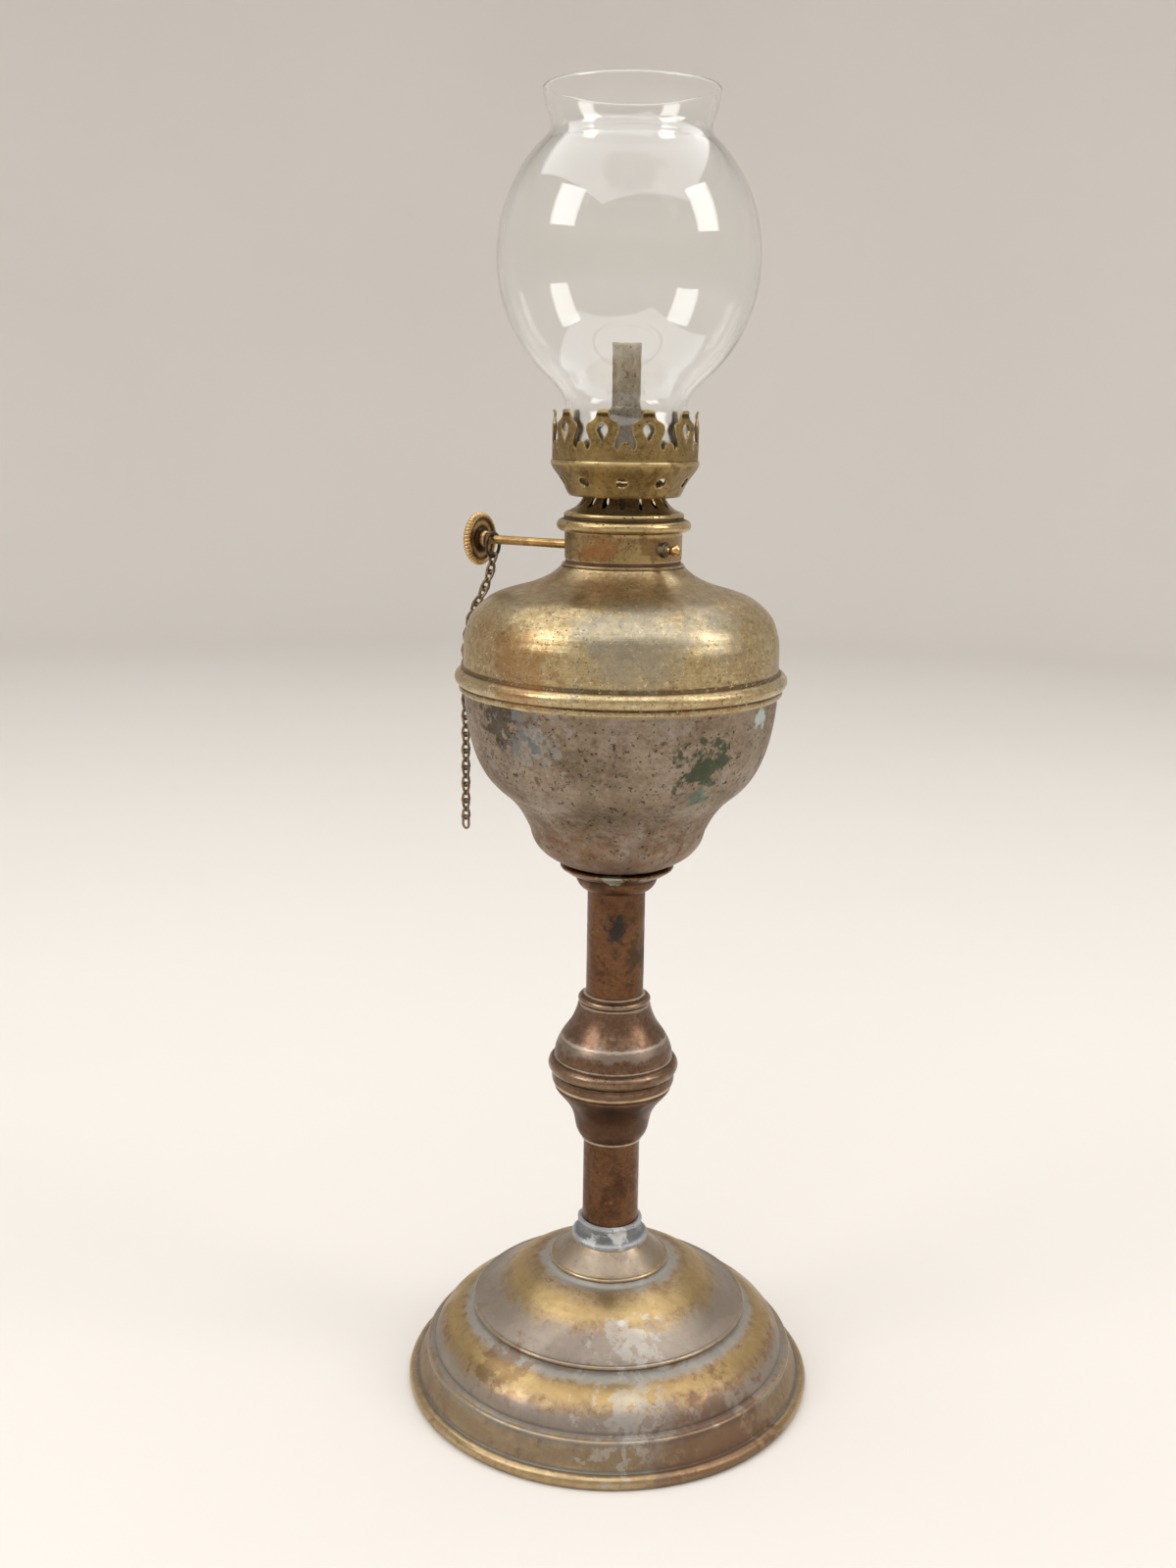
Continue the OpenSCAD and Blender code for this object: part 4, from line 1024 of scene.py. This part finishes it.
def make_glass():
    """Chimney glass: straight foot, pinched neck, ball 32 by 35.5 mm in radius, flared lip."""
    outer = path((16.8, 251.1), (16.8, 257),
                 cubic((16.8, 257.6), (16.6, 260.2), (14.9, 261), (14.9, 263.4), 16),
                 cubic((14.9, 263.6), (14.9, 265.6), (15.7, 266.8), (17.2, 268.2), 14))
    w = np.radians(np.linspace(-56, 52, 70))
    ball = np.stack([32 * np.cos(w), 298.6 + 35.5 * np.sin(w)], 1)
    lip = path(cubic((19.4, 327.3), (18.9, 328.1), (19, 329.2), (19.6, 330.6), 10),
               cubic((19.9, 331.2), (20.6, 333), (21, 335), (21.25, 336.9), 12))
    outer = dense(path(outer, ball, lip), 0.5)
    outer = smooth_run(outer, 5)
    inner = inner_side(outer, 1.3)
    top = (outer[-1] + inner[-1]) / 2
    rim = arc(top[0], top[1], 0.65, 0, 180, 14)
    return lathe("ball_glass", path(outer, rim, inner[::-1]), 256, 0.7)


settle(make_skirt(), "gallery", "gallery_brass", "gallery_skirt")
settle(make_crown(), "gallery", "gallery_brass", "gallery_crown")
settle(make_glass(), "chimney", "clear_glass", "chimney")


# ---- chain -------------------------------------------------------------------

def tube_rings(name, centres, turns, long_half, bow_r, wire_r, twist, steps=28, sides=9):
    """Wire links: for each, an oval of two half circles swept by a round wire.

    Path: bow_r (cos t, 0, sin t) with the half circles moved apart by long_half along Z;
    wire: radius wire_r in the plane of the path's outward direction and Y; the oval is then
    twisted about Z by twist times its height, turned by the link's matrix and put in place.
    """
    t = np.linspace(0, TURN, steps, endpoint=False) + TURN / steps / 2
    f = np.linspace(0, TURN, sides, endpoint=False)
    out = np.stack([np.cos(t), 0 * t, np.sin(t)], -1)[:, None]
    middle = bow_r * out + np.array([0, 0, long_half]) * np.sign(out[..., 2:])
    wire = middle + wire_r * (np.cos(f)[None, :, None] * out
                              + np.sin(f)[None, :, None] * np.array([0, 1, 0]))
    angle = twist * wire[..., 2]
    c, s = np.cos(angle), np.sin(angle)
    wire = np.stack([wire[..., 0] * c - wire[..., 1] * s,
                     wire[..., 0] * s + wire[..., 1] * c, wire[..., 2]], -1)
    points = np.einsum("lij,pqj->lpqi", turns, wire) + centres[:, None, None]
    count = len(centres)
    index = np.arange(count * steps * sides).reshape(count, steps, sides)
    a, b = index, np.roll(index, -1, 1)
    quads = np.stack([a, np.roll(a, -1, 2), np.roll(b, -1, 2), b], -1).reshape(-1, 4)
    return mesh_piece(name, points.reshape(-1, 3), [quads[:, ::-1]], np.zeros(points.size // 3))


RING_X = -36.0
LINK_PITCH = 2.28
LINK_TWIST = -16.0
TAIL_Z = 189.0
CHAIN_END = 152.5
HANG = (-43.7, -6.0)


def chain_route():
    """Middle line of the chain: two cubic curves over the shoulder of the dome, then straight down."""
    over = cubic((RING_X, WINDER_Y, 224.62), (-36.2, -6.2, 218.6), (-37.3, -8.3, 215.4),
                 (-39.6, -8.5, 211.4), 17)
    past = cubic((-39.9, -8.5, 210.8), (-41.2, -8.4, 207.6), (HANG[0], -6.9, 201), (*HANG, 195), 17)
    return np.concatenate([over, past, [[*HANG, CHAIN_END - 10]]])


def chain_places():
    """Centre and turning matrix of each link, one pitch apart along the route.

    A link's length follows the route; every second link is turned by a quarter.
    """
    route = chain_route()
    run = np.r_[0, np.cumsum(np.linalg.norm(np.diff(route, axis=0), axis=1))]
    count = int((run[-1] - 10) / LINK_PITCH)

    def at(i):
        s = np.maximum(i, 0) * LINK_PITCH
        return np.stack([np.interp(s, run, route[:, k]) for k in range(3)], -1)

    number = np.arange(count + 1)
    along = at(number + 0.5) - at(number - 0.5)
    along /= np.linalg.norm(along, axis=1)[:, None]
    turns = []
    for i, d in zip(number, along):
        swing = Matrix.Rotation(math.acos(max(-1, min(1, -d[2]))), 3, Vector((d[1] + 1e-4, -d[0], 0)))
        turns.append(np.array(swing @ Matrix.Rotation(math.radians(LINK_TWIST + 90 * (i % 2)), 3, "Z")))
    return at(number), np.array(turns)


centres, turns = chain_places()
tail_first = int(np.argmax(centres[:, 2] < TAIL_Z))
LINK = dict(long_half=0.53, bow_r=1.04, wire_r=0.38, twist=0.22)
settle(tube_rings("upper_chain", centres[:tail_first], turns[:tail_first], **LINK), "chain", "chain_metal",
       "chain_upper_links")
settle(tube_rings("tail_chain", centres[tail_first:-1], turns[tail_first:-1], **LINK), "chain_tail",
       "chain_metal", "chain_tail_links")
end_centre = centres[-1:] - [0, 0, 0.15]
settle(tube_rings("chain_end", end_centre, turns[-1:], 0.52, 1.21, 0.345, 0.0), "chain_tail", "chain_metal",
       "chain_end_link")
ring_turn = np.array([Matrix.Rotation(math.radians(90), 3, "Z")])
ring_centre = np.array([[RING_X, WINDER_Y, WINDER_Z - 1.4]])
settle(tube_rings("chain_hanger", ring_centre, ring_turn, 0.0, 3.05, 0.45, 0.0, 56, 14), "chain",
       "dark_metal", "chain_ring")

for node_name, slot_name in (
        ("font_collar", "dome_brass"), ("fuel_wadding", "cotton"), ("sealing_washer", "washer_fibre"),
        ("burner_screw", "burner_brass"), ("pinion_cage", "burner_brass"), ("wick", "cotton"),
        ("wick_pinion", "winder_brass"), ("gallery_floor", "gallery_brass"),
        ("chimney_seat", "gallery_brass")):
    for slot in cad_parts[node_name].material_slots:
        slot.material = FINISHES[slot_name]


# ---- floor, light and camera ---------------------------------------------------

def make_cove():
    """Round pale floor that rises in a quarter circle to an upright wall."""
    turn = np.linspace(0, TURN, 97)[None, :-1]
    flat = np.linspace(0.02, 1.5, 24)
    w = np.radians(np.linspace(5, 90, 18))
    r = np.concatenate([flat, 1.5 + 0.5 * np.sin(w), [2.0]])[:, None]
    z = np.concatenate([0 * flat, 0.5 - 0.5 * np.cos(w), [1.7]])[:, None]
    points = around_z(r + 0 * turn, z + 0 * turn, turn + 0 * r) * 1000
    rows, around = points.shape[:2]
    index = np.arange(rows * around).reshape(rows, around)
    a, b = index[:-1], index[1:]
    quads = np.stack([a, b, np.roll(b, -1, 1), np.roll(a, -1, 1)], -1).reshape(-1, 4)
    cove = mesh_piece("pale_cove", points.reshape(-1, 3), [quads, index[:1]])
    material, tree, shader, place = new_material("pale_cloth")
    cloud = noise(tree, place, 2.2, 3.0, 0.5)
    colour = blend(tree, cloud, tone(216, 211, 205), tone(224, 219, 213))
    tree.links.new(colour, shader.inputs["Base Color"])
    shader.inputs["Roughness"].default_value = 0.9
    cove.data.materials.append(material)


def area_light(name, place, aim, size, power, colour, corner_deg=0):
    """Soft light panel at place, facing aim, turned in its own plane by corner_deg."""
    lamp = bpy.data.lights.new(name, "AREA")
    lamp.shape = "RECTANGLE"
    lamp.size, lamp.size_y = size
    lamp.energy = power
    lamp.color = colour
    holder = bpy.data.objects.new(name, lamp)
    holder.location = place
    face = (Vector(aim) - Vector(place)).to_track_quat("-Z", "Y").to_matrix()
    holder.rotation_euler = (face @ Matrix.Rotation(math.radians(corner_deg), 3, "Z")).to_euler()
    bpy.context.scene.collection.objects.link(holder)


def from_view(right, back, up):
    """Place given as seen from the main view: to the right, away from the camera, and up."""
    a = math.radians(VIEW_AZIMUTH)
    return (right * math.cos(a) - back * math.sin(a), right * math.sin(a) + back * math.cos(a), up)


make_cove()
area_light("wide_overhead", from_view(0.0, -0.15, 1.4), from_view(0.0, -0.15, 0.0), (2.3, 2.3), 28,
           (1.0, 0.995, 0.985), 45)
area_light("left_window", from_view(-1.1, -0.6, 1.0), (0, 0, 0.2), (0.6, 0.6), 6, (1.0, 0.99, 0.98))
area_light("right_side", from_view(1.1, -0.35, 0.9), (0, 0, 0.18), (0.5, 0.6), 5, (1.0, 0.98, 0.94))

world = bpy.data.worlds.new("soft_room")
world.use_nodes = True
world.node_tree.nodes["Background"].inputs[0].default_value = (0.97, 0.98, 1.0, 1)
world.node_tree.nodes["Background"].inputs[1].default_value = 0.3
bpy.context.scene.world = world
bpy.context.scene.view_settings.view_transform = "Standard"

LENS = 37.78
EYE_YAW, EYE_DOWN, EYE_ROLL = 1.09, 12.77, 0.9
EYE_PLACE = (0.20158, -0.36367, 0.2625)
camera = bpy.data.cameras.new("camera")
camera.lens = LENS
camera.sensor_width = 36
camera.sensor_fit = "AUTO"
camera.clip_start = 0.01
eye = bpy.data.objects.new("camera", camera)
aim = (Matrix.Rotation(math.radians(VIEW_AZIMUTH + EYE_YAW), 4, "Z")
       @ Matrix.Rotation(math.radians(90 - EYE_DOWN), 4, "X")
       @ Matrix.Rotation(math.radians(EYE_ROLL), 4, "Z"))
eye.matrix_world = Matrix.Translation(EYE_PLACE) @ aim
bpy.context.scene.collection.objects.link(eye)
bpy.context.scene.camera = eye
